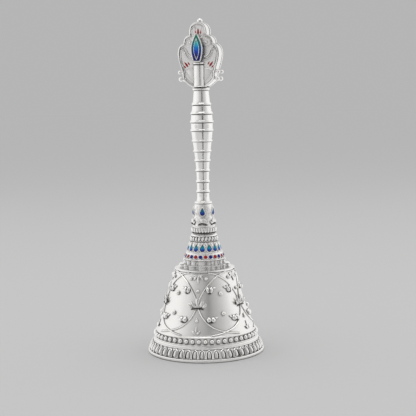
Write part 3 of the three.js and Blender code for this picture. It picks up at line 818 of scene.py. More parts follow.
# %% Lotus flowers
FAN_SPREAD = 58
FAN = [(-FAN_SPREAD, 3.9), (-30, 5.1), (0, 6.4), (30, 5.1), (FAN_SPREAD, 3.9)]


def rib(bm, length, **place):
    path = [(0, 0.15 * length, 0.5), (0, 0.55 * length, 0.62), (0, 0.92 * length, 0.25)]
    verts = wire(bm, smooth_path(path, 3), 0.13, sides=6, taper=lambda t: 1 - 0.5 * t)
    return moved(bm, verts, **place)


def lotus(bm):
    """A flat lotus, facing +Z, its cup at the origin."""
    verts = []
    for tilt, length in FAN:
        spread = abs(tilt) / FAN_SPREAD
        place = dict(x=2.9 * tilt / FAN_SPREAD, y=0.3 - 0.1 * spread, out=0.75)
        place |= dict(tilt=0.8 * tilt, lean=9 + 7 * spread)
        verts += petal(bm, 2.15, length, flat=0.5, belly=0.4, **place)
        verts += rib(bm, length, **place)
    cup = [(0, -0.2), (1.5, -0.1), (2.6, 0.35), (2.7, 1.1), (1.6, 2.2), (0, 2.6)]
    verts += moved(bm, seed(bm, cup, flat=0.34, steps=16), out=0.3)
    return verts


def mirrored(left):
    """A path from its left half, which ends on the middle line."""
    return left + [(-x, y, z) for x, y, z in reversed(left[:-1])]


def crescent(bm, path, radius):
    return wire(bm, smooth_path(path, 4), radius, taper=lambda t: 0.35 + 2.6 * t * (1 - t))


def lotus_shadow(bm):
    """The dark crescent under the petals."""
    return crescent(bm, mirrored([(-3.9, -0.75, 0.3), (-2.2, -0.1, 0.85), (0, 0.1, 1.1)]), 0.44)


# Dark crescents under the petals are painted shadow.
crescents = bmesh.new()
for column in range(COLUMNS):
    node = f"lotus_boss_{column + 1}"
    flower = bmesh.new()
    wrapped(lotus_shadow(crescents), waist, azimuth_of(node), foot(node) - 0.45)
    wrapped(lotus(flower), waist, azimuth_of(node), foot(node) - 0.45)
    finish_piece(flower, f"lotus_flower_{column + 1}", bright_silver, [node])
finish_piece(crescents, "lotus_shadow_crescents", painted_shade_silver, merge=False)

# %% [markdown]
# ## Pearls, buds and palmettes
#
# Small ornaments fill the ground. Above each lotus hang an upside-down palmette with a pearl at
# each side, and a single pearl. Below it are a pointed bud and a small three-petal sprout. Each
# oval panel holds two pearls on its middle line and four split tulip buds.

# %% Small ornaments
PANEL = COLUMN_PITCH / 2
TULIP_TURN = 17.5


def tulip(bm, dark, wide=1.0, tall=1.0, horn=0):
    """Two rounded halves that part at the top. The slit and the cup below them are dark, as painted
    shade.
    """
    verts = []
    for side in (-1, 1):
        half = [(0, -1.9), (0.85, -1.6), (1.3, -0.5), (1.2, 0.8), (0.55, 2.0), (0, 2.9)]
        shape = seed(bm, [(w * wide, y * tall) for w, y in half], flat=0.9)
        verts += moved(bm, shape, x=0.88 * side * wide, out=0.6, tilt=13 * side, lean=-5)
    if horn:
        place = dict(x=1.5 * horn * wide, y=0.6 * tall, out=0.45, tilt=62 * horn)
        verts += petal(bm, 1.3, 3.0, flat=0.55, **place)
    slit = [(0, -1.7 * tall), (0.2, -1.2 * tall), (0.22, 0.6 * tall), (0, 1.5 * tall)]
    slit = moved(dark, seed(dark, slit, flat=1.0, steps=8), out=1.5)
    cup = mirrored([(-1.7 * wide, -1.1 * tall, 0.35), (0, -1.95 * tall, 0.7)])
    slit += wire(dark, smooth_path(cup, 4), 0.4, taper=lambda t: 0.4 + 2.4 * t * (1 - t))
    return verts, slit


def palmette(bm):
    verts = petal(bm, 1.7, 5.6, flat=0.7, belly=0.35, tilt=180, out=0.35, y=2.1)
    for side in (-1, 1):
        verts += petal(bm, 1.5, 4.6, flat=0.7, tilt=180 + 40 * side, x=-0.4 * side, y=2.1, out=0.35)
        verts += petal(bm, 1.1, 3.0, flat=0.6, tilt=180 + 74 * side, x=-0.6 * side, y=2.2, out=0.3)
    return verts


def sprout(bm):
    verts = petal(bm, 1.5, 5.6, flat=0.6, belly=0.3, y=-1.0, out=0.25)
    for side in (-1, 1):
        place = dict(y=-1.1, x=0.2 * side, out=0.35, tilt=48 * side, lean=8)
        verts += petal(bm, 1.5, 3.4, flat=0.7, **place)
    return verts


def bud(bm):
    verts = pearl(bm, 0.98, out=0.35)
    verts += petal(bm, 1.5, 2.3, flat=0.8, belly=0.3, y=-0.2, out=0.35)
    return verts


ornaments = bmesh.new()
# Dark slits and cups on the tulips are painted shade.
slits = bmesh.new()
for column in range(COLUMNS):
    azimuth = COLUMN_PITCH * column
    wrapped(palmette(ornaments), waist_safe, azimuth, 48.6)
    for across in (4.6, -4.6):
        wrapped(pearl(ornaments, 1.1, x=across, out=0.45), waist_safe, azimuth, 48.3)
    wrapped(pearl(ornaments, 1.0, out=0.4), waist, azimuth, 41.1)
    wrapped(bud(ornaments), waist, azimuth, 23.7)
    wrapped(sprout(ornaments), waist_safe, azimuth, 17.1)
    for level in (39.3, 27.5):
        wrapped(pearl(ornaments, 1.38, out=0.55), waist, azimuth + PANEL, level)
    for side in (-1, 1):
        turn = azimuth + PANEL + side * TULIP_TURN
        for level, wide, tall in ((41.4, 0.95, 0.95), (24.2, 1.3, 0.8)):
            for verts in tulip(ornaments, slits, wide, tall, horn=-side):
                wrapped(verts, waist, turn, level)
finish_piece(ornaments, "waist_ornaments", bright_silver)
finish_piece(slits, "waist_slit_shade", painted_shade_silver, merge=False)

# %% [markdown]
# # The stack of collars
#
# ## Two stepped plinths
#
# The plinths have a square plan whose corners step back three times. Each is a stack of four
# plates: a foot, a face set a little inside it, an overhanging cornice and a thin top. The
# undercut below the cornice keeps a dark line.

# %% Plinths
PLINTH_TURN = 11
ARM = 3.7
SHOULDER_SHARE = 0.61
BELLY = 0.5


def redented(radius):
    """Square plan with stepped corners on one circle. Each side swells a little."""
    shoulder = SHOULDER_SHARE * radius
    reach = math.sqrt(radius**2 - ARM**2)
    side = math.sqrt(radius**2 - shoulder**2)
    quarter = [
        (reach, ARM),
        (side, ARM),
        (side, shoulder),
        (shoulder, shoulder),
        (shoulder, side),
        (ARM, side),
        (ARM, reach),
    ]
    corners = []
    for turn in range(4):
        spin = Matrix.Rotation(math.radians(90 * turn), 2)
        corners += [spin @ Vector(p) for p in quarter]
    outline = []
    for a, b in zip(corners, corners[1:] + corners[:1]):
        along = b - a
        out = Vector((along.y, -along.x)).normalized()
        swell = BELLY if along.length > 4 else 0.3 * BELLY
        for step in range(6):
            t = step / 6
            outline.append(tuple(a + along * t + out * swell * 4 * t * (1 - t)))
    return outline


def stack(bm, radius, foot_level, layers):
    """Each layer is (set-in, height, bevel, batter)."""
    level = foot_level
    for inset, height, soft, batter in layers:
        verts = plate(bm, redented(radius - inset), height, soft)
        share = 1 - batter / radius
        bmesh.ops.scale(
            bm, vec=(share, share, 1), verts=[v for v in verts if v.co.z > 0.6 * height]
        )
        bmesh.ops.translate(bm, vec=(0, 0, level), verts=verts)
        level += height
    bmesh.ops.rotate(
        bm,
        cent=(0, 0, 0),
        matrix=Matrix.Rotation(math.radians(PLINTH_TURN), 3, "Z"),
        verts=bm.verts,
    )


for node, radius in (("plinth_lower", 16.4), ("plinth_upper", 13.9)):
    plinth = bmesh.new()
    tall = top(node) - foot(node)
    layers = [
        (0.55, 0.4, 0.08, 0.0),
        (0.7, tall - 1.2, 0.0, 0.4),
        (0.5, 0.55, 0.16, 0.1),
        (0.9, 0.25, 0.08, 0.1),
    ]
    stack(plinth, radius, foot(node), layers)
    finish_piece(
        plinth, f"{node}_tiers", step_silver, [node], crease=30, merge=False
    )

# %% [markdown]
# ## The jewelled band
#
# Twenty-four round cabochons, blue and red by turns, sit in smooth bezels on a sloping band.
# Small grains fill the gaps above and below, one behind each gap. The blue stones and the red
# stones are two pieces, because each has its own enamel.


# %% Settings
def ring_path(radius, count=20):
    return [
        Vector(
            (radius * math.sin(math.tau * i / count), radius * math.cos(math.tau * i / count), 0)
        )
        for i in range(count)
    ]


def band_radius(node, foot_radius, top_radius):
    low, high = foot(node), top(node)
    return lambda z: foot_radius + (top_radius - foot_radius) * (z - low) / (high - low)


def dome(bm, radius, rise, steps=20):
    """A low round dome on the flat, with its foot at zero."""
    curve = [(radius, 0.0), (0.86 * radius, 0.55 * rise), (0.5 * radius, 0.9 * rise), (0, rise)]
    outline = [(0, -0.3), (radius, -0.3)] + [tuple(p) for p in smooth_path(curve, 3)]
    return turned(bm, outline, steps, closed=False)


# %% Jewelled band
JEWELS = 24
JEWEL_Z = foot("jewel_collar")
jewel_wall = band_radius("jewel_collar", 13.0, 11.0)
jewel_line = raised(JEWEL_Z, [
    (3.0, 0), (13.05, 0), (13.1, 0.3), (12.85, 0.5), (12.45, 0.75), (11.55, 3.3), (11.6, 3.55),
    (11.35, 3.9),
])
jewel_line += [(11.1, top("jewel_collar")), (3.0, top("jewel_collar"))]
jewel_band = bmesh.new()
turned(jewel_band, softened(jewel_line, 0.12), steps=144)
for k in range(JEWELS):
    azimuth = 360 / JEWELS * k
    wrapped(
        wire(jewel_band, ring_path(1.38), 0.23, sides=8, closed=True),
        jewel_wall,
        azimuth,
        JEWEL_Z + 2.1,
    )
    for across, level, size in (
        (0.0, 1.75, 0.36), (0.0, -1.7, 0.38), (-0.75, 1.95, 0.24), (0.75, 1.95, 0.24)
    ):
        grain = bmesh.ops.create_icosphere(jewel_band, subdivisions=2, radius=size)["verts"]
        moved(jewel_band, grain, x=across, y=level, out=-0.12)
        wrapped(grain, jewel_wall, azimuth + 180 / JEWELS, JEWEL_Z + 2.1)
finish_piece(
    jewel_band, "jewelled_band", bright_silver, ["jewel_collar"], merge=False
)

for name, material, slot, first in (
    ("blue_cabochons", navy_enamel, "navy_enamel", 0),
    ("red_cabochons", red_enamel, "red_enamel", 1),
):
    stones = bmesh.new()
    for k in range(first, JEWELS, 2):
        wrapped(
            moved(stones, dome(stones, 1.3, 0.7), out=-0.2),
            jewel_wall,
            360 / JEWELS * k,
            JEWEL_Z + 2.1,
        )
    finish_piece(stones, name, material)

# %% [markdown]
# ## Fifteen enamel drops
#
# The drops stand point up, each in a petal-shaped bezel that runs to a sharp tip. A second, lower
# row of petals shows between the tips. Each drop is its own piece.


# %% Drops
def drop_outline(width, height, steps=8):
    """Half outline of a drop, round below and pointed above, centred on its height."""
    half = width / 2
    low = -height / 2 + half
    points = [
        (half * math.sin(math.pi * i / 12), low - half * math.cos(math.pi * i / 12))
        for i in range(7)
    ]
    side = [
        (half, low),
        (0.96 * half, low + 0.2 * height),
        (0.36 * half, low + 0.44 * height),
        (0, height / 2),
    ]
    curve = bezier(*[Vector(p) for p in side], steps)[1:]
    return points + [tuple(p) for p in curve]


def around_drop(width, height, out=0.0):
    """The whole outline as a path."""
    right = [Vector((w, y, out)) for w, y in drop_outline(width, height)]
    return right + [Vector((-p.x, p.y, out)) for p in reversed(right[1:-1])]


def drop_stone(bm, width, height, rise):
    return seed(bm, drop_outline(width, height), flat=rise / (width / 2), steps=20)


DROPS = 15
DROP_Z = foot("drop_collar")
DROP_LEVEL = DROP_Z + 3.1
drop_wall = band_radius("drop_collar", 10.65, 8.85)
drop_line = raised(DROP_Z, [
    (3.0, 0), (11.15, 0), (11.25, 0.3), (10.9, 0.55), (10.5, 0.7), (8.95, 5.9),
])
drop_line += [(8.9, top("drop_collar")), (3.0, top("drop_collar"))]
drop_band = bmesh.new()
turned(drop_band, softened(drop_line, 0.15), steps=120)
for k in range(DROPS):
    azimuth = KNOP_TURN + 360 / DROPS * k
    wrapped(
        wire(drop_band, around_drop(3.55, 5.9), 0.34, sides=8, closed=True),
        drop_wall,
        azimuth,
        DROP_LEVEL + 0.35,
    )
    wrapped(
        petal(drop_band, 2.1, 3.2, flat=0.45, belly=0.45, y=0.4, out=0.05),
        drop_wall,
        azimuth + 12,
        DROP_LEVEL,
    )
    for across, level, size in ((0, -2.3, 0.42), (-0.5, -2.75, 0.3), (0.5, -2.75, 0.3)):
        grain = bmesh.ops.create_icosphere(drop_band, subdivisions=2, radius=size)["verts"]
        wrapped(
            moved(drop_band, grain, x=across, y=level, out=0.15),
            drop_wall,
            azimuth + 12,
            DROP_LEVEL,
        )
finish_piece(
    drop_band, "drop_collar_petals", bright_silver, ["drop_collar"], merge=False
)

for k in range(DROPS):
    node = f"collar_drop_{k + 1:02d}"
    stone = bmesh.new()
    wrapped(
        moved(stone, drop_stone(stone, 2.9, 4.5, 0.62), out=0.05),
        drop_wall,
        azimuth_of(node),
        DROP_LEVEL,
    )
    finish_piece(stone, f"enamel_drop_{k + 1:02d}", drop_enamel, [node])

# %% [markdown]
# ## Lotus ring and gadroon ring
#
# Above the drops a thread of beads carries a ring of slanted petals under a smooth flange, then
# come a deep groove and a ring of upright lobes over a row of tiny teeth.

# %% Lotus ring
LOTUS_Z = foot("lotus_ring")
ring_petals = 24
lotus_line = raised(LOTUS_Z, [
    (3.0, 0), (8.2, 0), (8.35, 0.5), (7.95, 1.1), (8.0, 2.0), (7.75, 3.0), (7.75, 3.3),
    (8.2, 3.55), (8.15, 4.2), (7.4, 4.7), (7.1, 4.9),
])
lotus_line += [(7.1, top("lotus_ring")), (3.0, top("lotus_ring"))]
lotus_ring = bmesh.new()
turned(lotus_ring, softened(lotus_line, 0.2), steps=120)
for k in range(ring_petals):
    azimuth = KNOP_TURN + 360 / ring_petals * k
    leaf = seed(
        lotus_ring,
        [(0, -1.3), (0.5, -1.1), (0.92, -0.2), (0.85, 0.6), (0.4, 1.25), (0, 1.4)],
        flat=0.8,
    )
    moved(lotus_ring, leaf, tilt=24, out=0.1)
    wrapped(leaf, lambda z: 8.1, azimuth, LOTUS_Z + 2.05)
for k in range(40):
    grain = bmesh.ops.create_icosphere(lotus_ring, subdivisions=2, radius=0.46)["verts"]
    standing(grain, KNOP_TURN + 9 * k, 8.25, LOTUS_Z + 0.75)
finish_piece(
    lotus_ring, "lotus_ring_petals", bright_silver, ["lotus_ring"], merge=False
)

# %% Gadroon ring
GADROON_Z = foot("gadroon_ring")
lobes = 26
gadroon_line = raised(GADROON_Z, [
    (3.0, 0), (7.15, 0), (7.0, 0.35), (7.2, 0.8), (7.45, 1.3), (7.55, 2.2), (7.4, 3.0),
    (6.95, 3.5), (7.05, 3.8),
])
gadroon_line += [(6.9, top("gadroon_ring")), (3.0, top("gadroon_ring"))]
gadroon_ring = bmesh.new()
# A dark band and dark teeth paint the shade in the groove under the lobes.
ring_dark = bmesh.new()
turned(
    ring_dark,
    [
        (6.4, GADROON_Z - 0.1),
        (7.2, GADROON_Z - 0.1),
        (7.2, GADROON_Z + 0.45),
        (6.4, GADROON_Z + 0.45),
    ],
    steps=96,
)
turned(gadroon_ring, softened(gadroon_line, 0.2), steps=120)
for k in range(lobes):
    azimuth = KNOP_TURN + 360 / lobes * k
    lobe = seed(
        gadroon_ring,
        [(0, -1.55), (0.55, -1.35), (0.86, -0.5), (0.86, 0.5), (0.55, 1.3), (0, 1.5)],
        flat=0.85,
    )
    bend = lambda z: 7.42 - 0.1 * (z - GADROON_Z - 2.1) ** 2
    wrapped(lobe, bend, azimuth, GADROON_Z + 2.15)
    tooth = bmesh.ops.create_icosphere(ring_dark, subdivisions=2, radius=0.42)["verts"]
    standing(tooth, azimuth + 180 / lobes, 7.25, GADROON_Z + 0.5)
finish_piece(
    gadroon_ring,
    "gadroon_ring_lobes",
    bright_silver,
    ["gadroon_ring"],
    merge=False,
)
finish_piece(ring_dark, "gadroon_ring_shade_teeth", painted_shade_silver, merge=False)

# %% [markdown]
# ## The knop
#
# The knop is a waisted drum. Five round lotus bosses stand at its foot, each a bulge with a fan
# of petals over a dark cup. Above each is a long enamel drop in a double bezel, and shallow
# scrolls run between them.

# %% Knop
KNOP_Z = foot("knop")
knop_line = raised(KNOP_Z, [
    (6.85, 0), (6.98, 0.6), (6.8, 1.0), (6.7, 2.2), (6.65, 4.5), (6.32, 7.0), (6.45, 9.2),
    (6.3, 11.2), (5.75, 12.9), (5.4, 13.6),
])
knop_line += [(5.25, top("knop"))]
knop_curve = [tuple(p) for p in smooth_path(knop_line, 5)]


def knop_wall(height):
    for (r0, z0), (r1, z1) in zip(knop_curve, knop_curve[1:]):
        if height <= z1:
            break
    return r0 + (r1 - r0) * (height - z0) / (z1 - z0)


def knop_lotus(bm):
    verts = seed(
        bm,
        [(0, -1.9), (1.3, -1.75), (2.2, -0.9), (2.35, 0.3), (1.7, 1.6), (0, 2.2)],
        flat=0.42,
        steps=16,
    )
    verts = moved(bm, verts, y=0.2, out=0.0)
    for tilt, length in ((-62, 2.6), (-34, 3.0), (0, 3.4), (34, 3.0), (62, 2.6)):
        spread = abs(tilt) / 62
        place = dict(x=1.5 * tilt / 62, y=-1.35 + 0.1 * spread, out=0.62, tilt=tilt, lean=4)
        verts += petal(bm, 1.45, length, flat=0.5, belly=0.42, **place)
    return verts


def knop_shadow(bm):
    cup = [
        (-3.0, -2.15, 0.2),
        (-1.5, -1.55, 0.75),
        (0, -1.2, 1.0),
        (1.5, -1.55, 0.75),
        (3.0, -2.15, 0.2),
    ]
    return wire(bm, smooth_path(cup, 4), 0.4, sides=8, taper=lambda t: 0.35 + 2.6 * t * (1 - t))


knop = bmesh.new()
# Dark cups under the lotus bosses are painted shadow.
knop_dark = bmesh.new()
turned(knop, [(3.0, KNOP_Z)] + knop_curve + [(3.0, top("knop"))], steps=120)
for k in range(COLUMNS):
    azimuth = KNOP_TURN + COLUMN_PITCH * k
    wrapped(knop_lotus(knop), knop_wall, azimuth, KNOP_Z + 3.3)
    wrapped(knop_shadow(knop_dark), knop_wall, azimuth, KNOP_Z + 3.3)
    wrapped(
        wire(knop, around_drop(3.5, 5.9, 0.12), 0.34, sides=8, closed=True),
        knop_wall,
        azimuth,
        KNOP_Z + 9.75,
    )
    wrapped(
        wire(knop, around_drop(4.9, 7.6, 0.0), 0.2, sides=6, closed=True),
        knop_wall,
        azimuth,
        KNOP_Z + 9.7,
    )
    for side in (-1, 1):
        scroll = [
            (0.0, -2.6), (0.5, -1.1), (1.7, -0.5), (2.2, 0.7), (1.5, 1.6), (0.7, 1.0), (1.1, 0.3),
        ]
        path = smooth_path([(side * x, y, 0.0) for x, y in scroll], 4)
        wrapped(
            wire(knop, path, 0.17, sides=6, taper=lambda t: 1 - 0.4 * t),
            knop_wall,
            azimuth + 36,
            KNOP_Z + 9.6,
        )
        path = smooth_path(
            [
                (side * x, 0.9 * y - 1, 0.0)
                for x, y in ((0, 2.4), (0.9, 1.2), (1.5, 0), (0.9, -1.2), (0, -1.4))
            ],
            4,
        )
        wrapped(wire(knop, path, 0.15, sides=6), knop_wall, azimuth + 36, KNOP_Z + 5.0)
    wrapped(petal(knop, 1.0, 2.2, flat=0.5, y=1.4, out=0.0), knop_wall, azimuth + 36, KNOP_Z + 9.6)
finish_piece(knop, "knop_body", satin_silver, ["knop"], merge=False)
finish_piece(knop_dark, "knop_shadow_crescents", painted_shade_silver, merge=False)

for k in range(COLUMNS):
    node = f"knop_drop_{k + 1}"
    stone = bmesh.new()
    wrapped(
        moved(stone, drop_stone(stone, 2.9, 5.0, 0.62), out=0.1),
        knop_wall,
        azimuth_of(node),
        KNOP_Z + 9.6,
    )
    finish_piece(stone, f"knop_enamel_{k + 1}", knop_enamel, [node])

# %% [markdown]
# # The grip
#
# The grip is turned: a slim neck that swells towards the top, with ten lip rings, spaced as listed.
# Each ring has an undercut below it, which holds a dark line of painted shade, a soft lip, and a
# slope back to the body above. The ferrule at the top is the same idea, cut deeper.

# %% Grip
GRIP_Z = foot("handle_grip")
GRIP_HEIGHT = top("handle_grip") - GRIP_Z
GRIP_BODY = [
    (0, 3.85),
    (0.16, 3.74),
    (0.33, 4.14),
    (0.49, 5.31),
    (0.62, 6.45),
    (0.7, 6.76),
    (0.78, 6.55),
    (0.9, 5.3),
    (1, 4.6),
]
RING_STATIONS = [0.111, 0.2, 0.298, 0.386, 0.47, 0.559, 0.652, 0.727, 0.801, 0.88]
grip_curve = [Vector((r, z * GRIP_HEIGHT)) for z, r in GRIP_BODY]
grip_curve = smooth_path([p.to_3d() for p in grip_curve], 10)


def grip_radius(height):
    for a, b in zip(grip_curve, grip_curve[1:]):
        if height <= b.y:
            break
    return a.x + (b.x - a.x) * (height - a.y) / (b.y - a.y)


grip_line = [
    (3.0, 0),
    (5.0, 0),
    (5.05, 0.2),
    (5.4, 0.3),
    (5.45, 0.6),
    (5.4, 1.15),
    (4.9, 1.4),
    (4.2, 1.75),
    (3.95, 2.6),
]
low = 3.2
for station in RING_STATIONS:
    middle = station * GRIP_HEIGHT
    body = grip_radius(middle)
    for level in (low + 0.33 * (middle - 1 - low), low + 0.67 * (middle - 1 - low)):
        grip_line.append((grip_radius(level), level))
    grip_line += [
        (grip_radius(middle - 0.95), middle - 0.95),
        (body - 0.16, middle - 0.8),
        (body - 0.2, middle - 0.52),
        (body + 0.44, middle - 0.45),
        (body + 0.56, middle - 0.2),
        (body + 0.54, middle + 0.28),
        (body + 0.32, middle + 0.55),
        (body + 0.1, middle + 0.85),
        (grip_radius(middle + 1.35), middle + 1.35),
    ]
    low = middle + 1.35
grip_line += [(grip_radius(level), level) for level in (GRIP_HEIGHT - 6, GRIP_HEIGHT - 3)]
grip_line += [(4.62, GRIP_HEIGHT - 0.25), (4.4, GRIP_HEIGHT), (3.0, GRIP_HEIGHT)]
grip = bmesh.new()
turned(grip, [(r, z + GRIP_Z) for r, z in softened(grip_line, 0.12, steps=2)], steps=96)
ringed_grip = finish_piece(
    grip, "ringed_grip", bright_silver, ["handle_grip"], crease=50
)
# Faces inside each ring's undercut take the near black finish, as painted shade.
ringed_grip.data.materials.append(painted_shade_silver)
for face in ringed_grip.data.polygons:
    across = Vector((face.center.x, face.center.y)).length / MM
    skin = grip_radius(face.center.z / MM - GRIP_Z)
    face.material_index = 1 if 3.3 < across < skin - 0.08 else 0

FERRULE_Z = foot("top_ferrule")
ferrule_line = [
    (3.0, 0),
    (4.55, 0),
    (4.5, 0.15),
    (5.1, 0.3),
    (5.33, 0.55),
    (5.35, 0.95),
    (5.2, 1.3),
    (4.75, 1.6),
    (4.45, 1.85),
    (4.4, 2.0),
    (3.0, 2.0),
]
ferrule = bmesh.new()
turned(ferrule, [(r, z + FERRULE_Z) for r, z in softened(ferrule_line, 0.15)], steps=96)
finish_piece(ferrule, "moulded_ferrule", bright_silver, ["top_ferrule"])

# %% [markdown]
# # The finial
#
# ## Two lobed plates
#
# The finial is a box of two lobed plates with a polished band between them. A plate has a frosted
# ground sunk inside a rounded border, a second fine contour, scrolls in low relief, pearls,
# and three motifs of red petals. It is made flat, with the axis at x = 0, and then stood up.

# %% Finial outline
FINIAL_Z = foot("finial_front_plate")
FINIAL_HEIGHT = 39.75
FINIAL_HALF_WIDTH = 13.35
FACE = 4.5
PLATE_THICK = 1.6
LOBES = [
    [(0.33, 0.0), (0.523, 0.033), (0.667, 0.073), (0.76, 0.12)],
    [(0.76, 0.12), (0.767, 0.153), (0.773, 0.187), (0.78, 0.22)],
    [(0.78, 0.22), (0.88, 0.33), (1.0, 0.42), (1.0, 0.51)],
    [(1.0, 0.51), (1.0, 0.6), (0.88, 0.655), (0.7, 0.665)],
    [(0.7, 0.665), (0.7, 0.74), (0.6, 0.79), (0.39, 0.795)],
    [(0.39, 0.795), (0.42, 0.9), (0.37, 0.99), (0.0, 1.0)],
]


def lobed(inset, out=0.0, steps=7):
    """The plates' outline, a given distance inside, as one closed path that starts at the foot."""
    wide = FINIAL_HALF_WIDTH - inset
    tall = FINIAL_HEIGHT - 2 * inset
    right = [Vector((0.33 * wide, inset, out))]
    for span in LOBES:
        curve = bezier(*[Vector((x * wide, inset + y * tall)) for x, y in span], steps)
        right += [Vector((p.x, p.y, out)) for p in curve[1:]]
    return right + [Vector((-p.x, p.y, out)) for p in reversed(right[:-1])]


def flat_points(path):
    return [(p.x, p.y) for p in path]


SCROLLS = [
    [(1.6, 29.6), (3.0, 31.0), (4.1, 33.2), (4.0, 35.6), (2.7, 36.7), (1.6, 35.9), (2.1, 34.8)],
    [(4.2, 24.6), (5.6, 24.4), (7.4, 25.6), (8.0, 27.6), (7.0, 29.4), (5.4, 29.2)],
    [(9.8, 12.2), (11.2, 15.0), (11.7, 18.6), (11.2, 21.8), (9.6, 23.4), (8.2, 22.4), (8.8, 21.2)],
]
BRANCHES = [
    [(3.6, 16.6), (5.8, 17.0), (7.6, 18.6), (8.8, 21.2), (10.0, 23.6)],
    [(3.6, 18.4), (5.2, 18.9), (6.8, 20.4), (7.9, 22.8), (9.6, 24.4)],
]
RIDGES = [
    [(3.5, 3.4), (6.0, 6.3), (8.4, 10.2)],
    [(4.4, 11.6), (6.4, 11.0), (8.4, 10.2)],
]


def side_scroll(bm, route, radius, side, out, thin=0.45, sides=6):
    path = smooth_path([(side * x, y, out) for x, y in route], 4)
    return wire(bm, path, radius, sides=sides, taper=lambda t: 1 - thin * t)


MOTIFS = [(0, 0.0, 31.7), (38, 6.7, 12.3), (-38, -6.7, 12.3)]
RED_PETALS = [(0, 0.0, 1.35, 4.2), (8, 1.45, 0.85, 2.6), (-8, -1.45, 0.85, 2.6)]


def motif_petals(bm, wider, taller, lower, out, flat, belly):
    """The three petals of each motif. The silver ones are a little larger than the red ones."""
    for tilt, x, y in MOTIFS:
        for swing, reach, wide, tall in RED_PETALS:
            spot = Matrix.Rotation(math.radians(-tilt), 2) @ Vector((reach, 0.35 if reach else 0.0))
            leaf = petal(bm, wide + wider, tall + taller, flat=flat, belly=belly)
            moved(bm, leaf, x=x + spot.x, y=y - lower + spot.y, out=out, tilt=tilt + swing)


def dressed_plate(azimuth, name, node):
    """Border, contour, scrolls, pearls and scroll balls of one plate."""
    bm = bmesh.new()
    for side in (-1, 1):
        for route in SCROLLS:
            side_scroll(bm, route, 0.42, side, 1.1)
        for route in BRANCHES:
            side_scroll(bm, route, 0.5, side, 1.2, thin=0.3, sides=8)
        for route in RIDGES:
            side_scroll(bm, route, 0.24, side, 1.2, thin=0.0)
        pearl(bm, 0.95, 5.1 * side, 27.2, 1.15)
        pearl(bm, 0.6, 8.6 * side, 21.3, 1.1)
        for reach, level, radius in ((0.93, 9.2, 1.15), (0.88, 5.0, 1.42)):
            x = side * reach * FINIAL_HALF_WIDTH
            stem = [
                (x - 3.4 * side, level + 0.2, 0.8),
                (x - 1.6 * side, level + 0.5, 0.8),
                (x, level, 0.8),
            ]
            wire(bm, smooth_path(stem, 4), 0.7, sides=10)
            pearl(bm, radius, x, level, 0.8)
    motif_petals(bm, 0.5, 0.6, 0.25, 0.95, flat=0.3, belly=0.4)
    for inset, radius, level in ((0.7, 0.72, 0.98), (2.0, 0.27, 1.12)):
        wire(bm, lobed(inset, level), radius, sides=8, closed=True)
    standing(bm.verts, azimuth, FACE - PLATE_THICK, FINIAL_Z)
    finish_piece(bm, f"{name}_relief", bright_silver, merge=False)
    ground = bmesh.new()
    plate(ground, flat_points(lobed(0.3)), 1.12)
    for side in (-1, 1):
        panel = [
            (3.4 * side, 2.9),
            (6.1 * side, 5.9),
            (8.5 * side, 10.1),
            (6.3 * side, 11.0),
            (3.4 * side, 12.0),
        ]
        sheet = plate(ground, panel if side > 0 else panel[::-1], 0.34, 0.15)
        bmesh.ops.translate(ground, vec=(0, 0, 1.0), verts=sheet)
    standing(ground.verts, azimuth, FACE - PLATE_THICK, FINIAL_Z)
    finish_piece(ground, f"{name}_ground", ground_silver, [node], merge=False)
    red = bmesh.new()
    motif_petals(red, 0, 0, 0, 1.1, flat=0.5, belly=0.36)
    standing(red.verts, azimuth, FACE - PLATE_THICK, FINIAL_Z)
    finish_piece(red, f"{name}_red_petals", red_enamel)


dressed_plate(FINIAL_TURN, "front", "finial_front_plate")
dressed_plate(FINIAL_TURN + 180, "back", "finial_back_plate")

# %% [markdown]
# ## The side band and the tip
#
# The band is one polished strip: its edge line is extruded across the gap between the plates and
# then given its thickness. The tip is a small bud.

# %% Side band
band = bmesh.new()
edge_line = [band.verts.new(p) for p in lobed(0.35, -3.0)]
edges = [band.edges.new(pair) for pair in zip(edge_line, edge_line[1:] + edge_line[:1])]
strip = bmesh.ops.extrude_edge_only(band, edges=edges)["geom"]
bmesh.ops.translate(band, vec=(0, 0, 6.0), verts=verts_of(strip))
bmesh.ops.recalc_face_normals(band, faces=band.faces)
bmesh.ops.solidify(band, geom=list(band.faces), thickness=1.1)
standing(band.verts, FINIAL_TURN, 0, FINIAL_Z)
finish_piece(
    band, "polished_side_band", bright_silver, ["finial_band"], merge=False
)

TIP_Z = top("finial_tip") - 2.6
bud_line = [(0, -0.9), (0.95, -0.8), (1.0, -0.1), (1.35, 0.1), (1.7, 0.6), (1.72, 1.1)]
bud_line = raised(TIP_Z, bud_line + [(1.45, 1.7), (0.95, 2.2), (0.4, 2.52), (0, 2.6)])
bud_tip = bmesh.new()
turned(bud_tip, [tuple(p) for p in smooth_path(bud_line, 4)], steps=32, closed=False)
finish_piece(bud_tip, "bud_tip", bright_silver, ["finial_tip"])

# %% [markdown]
# ## Pilasters
#
# A round column runs up each face from the ferrule to a small capital. It is turned, and then
# cut off along the plate with a bisecting plane, so nothing of it hangs in the hollow behind.


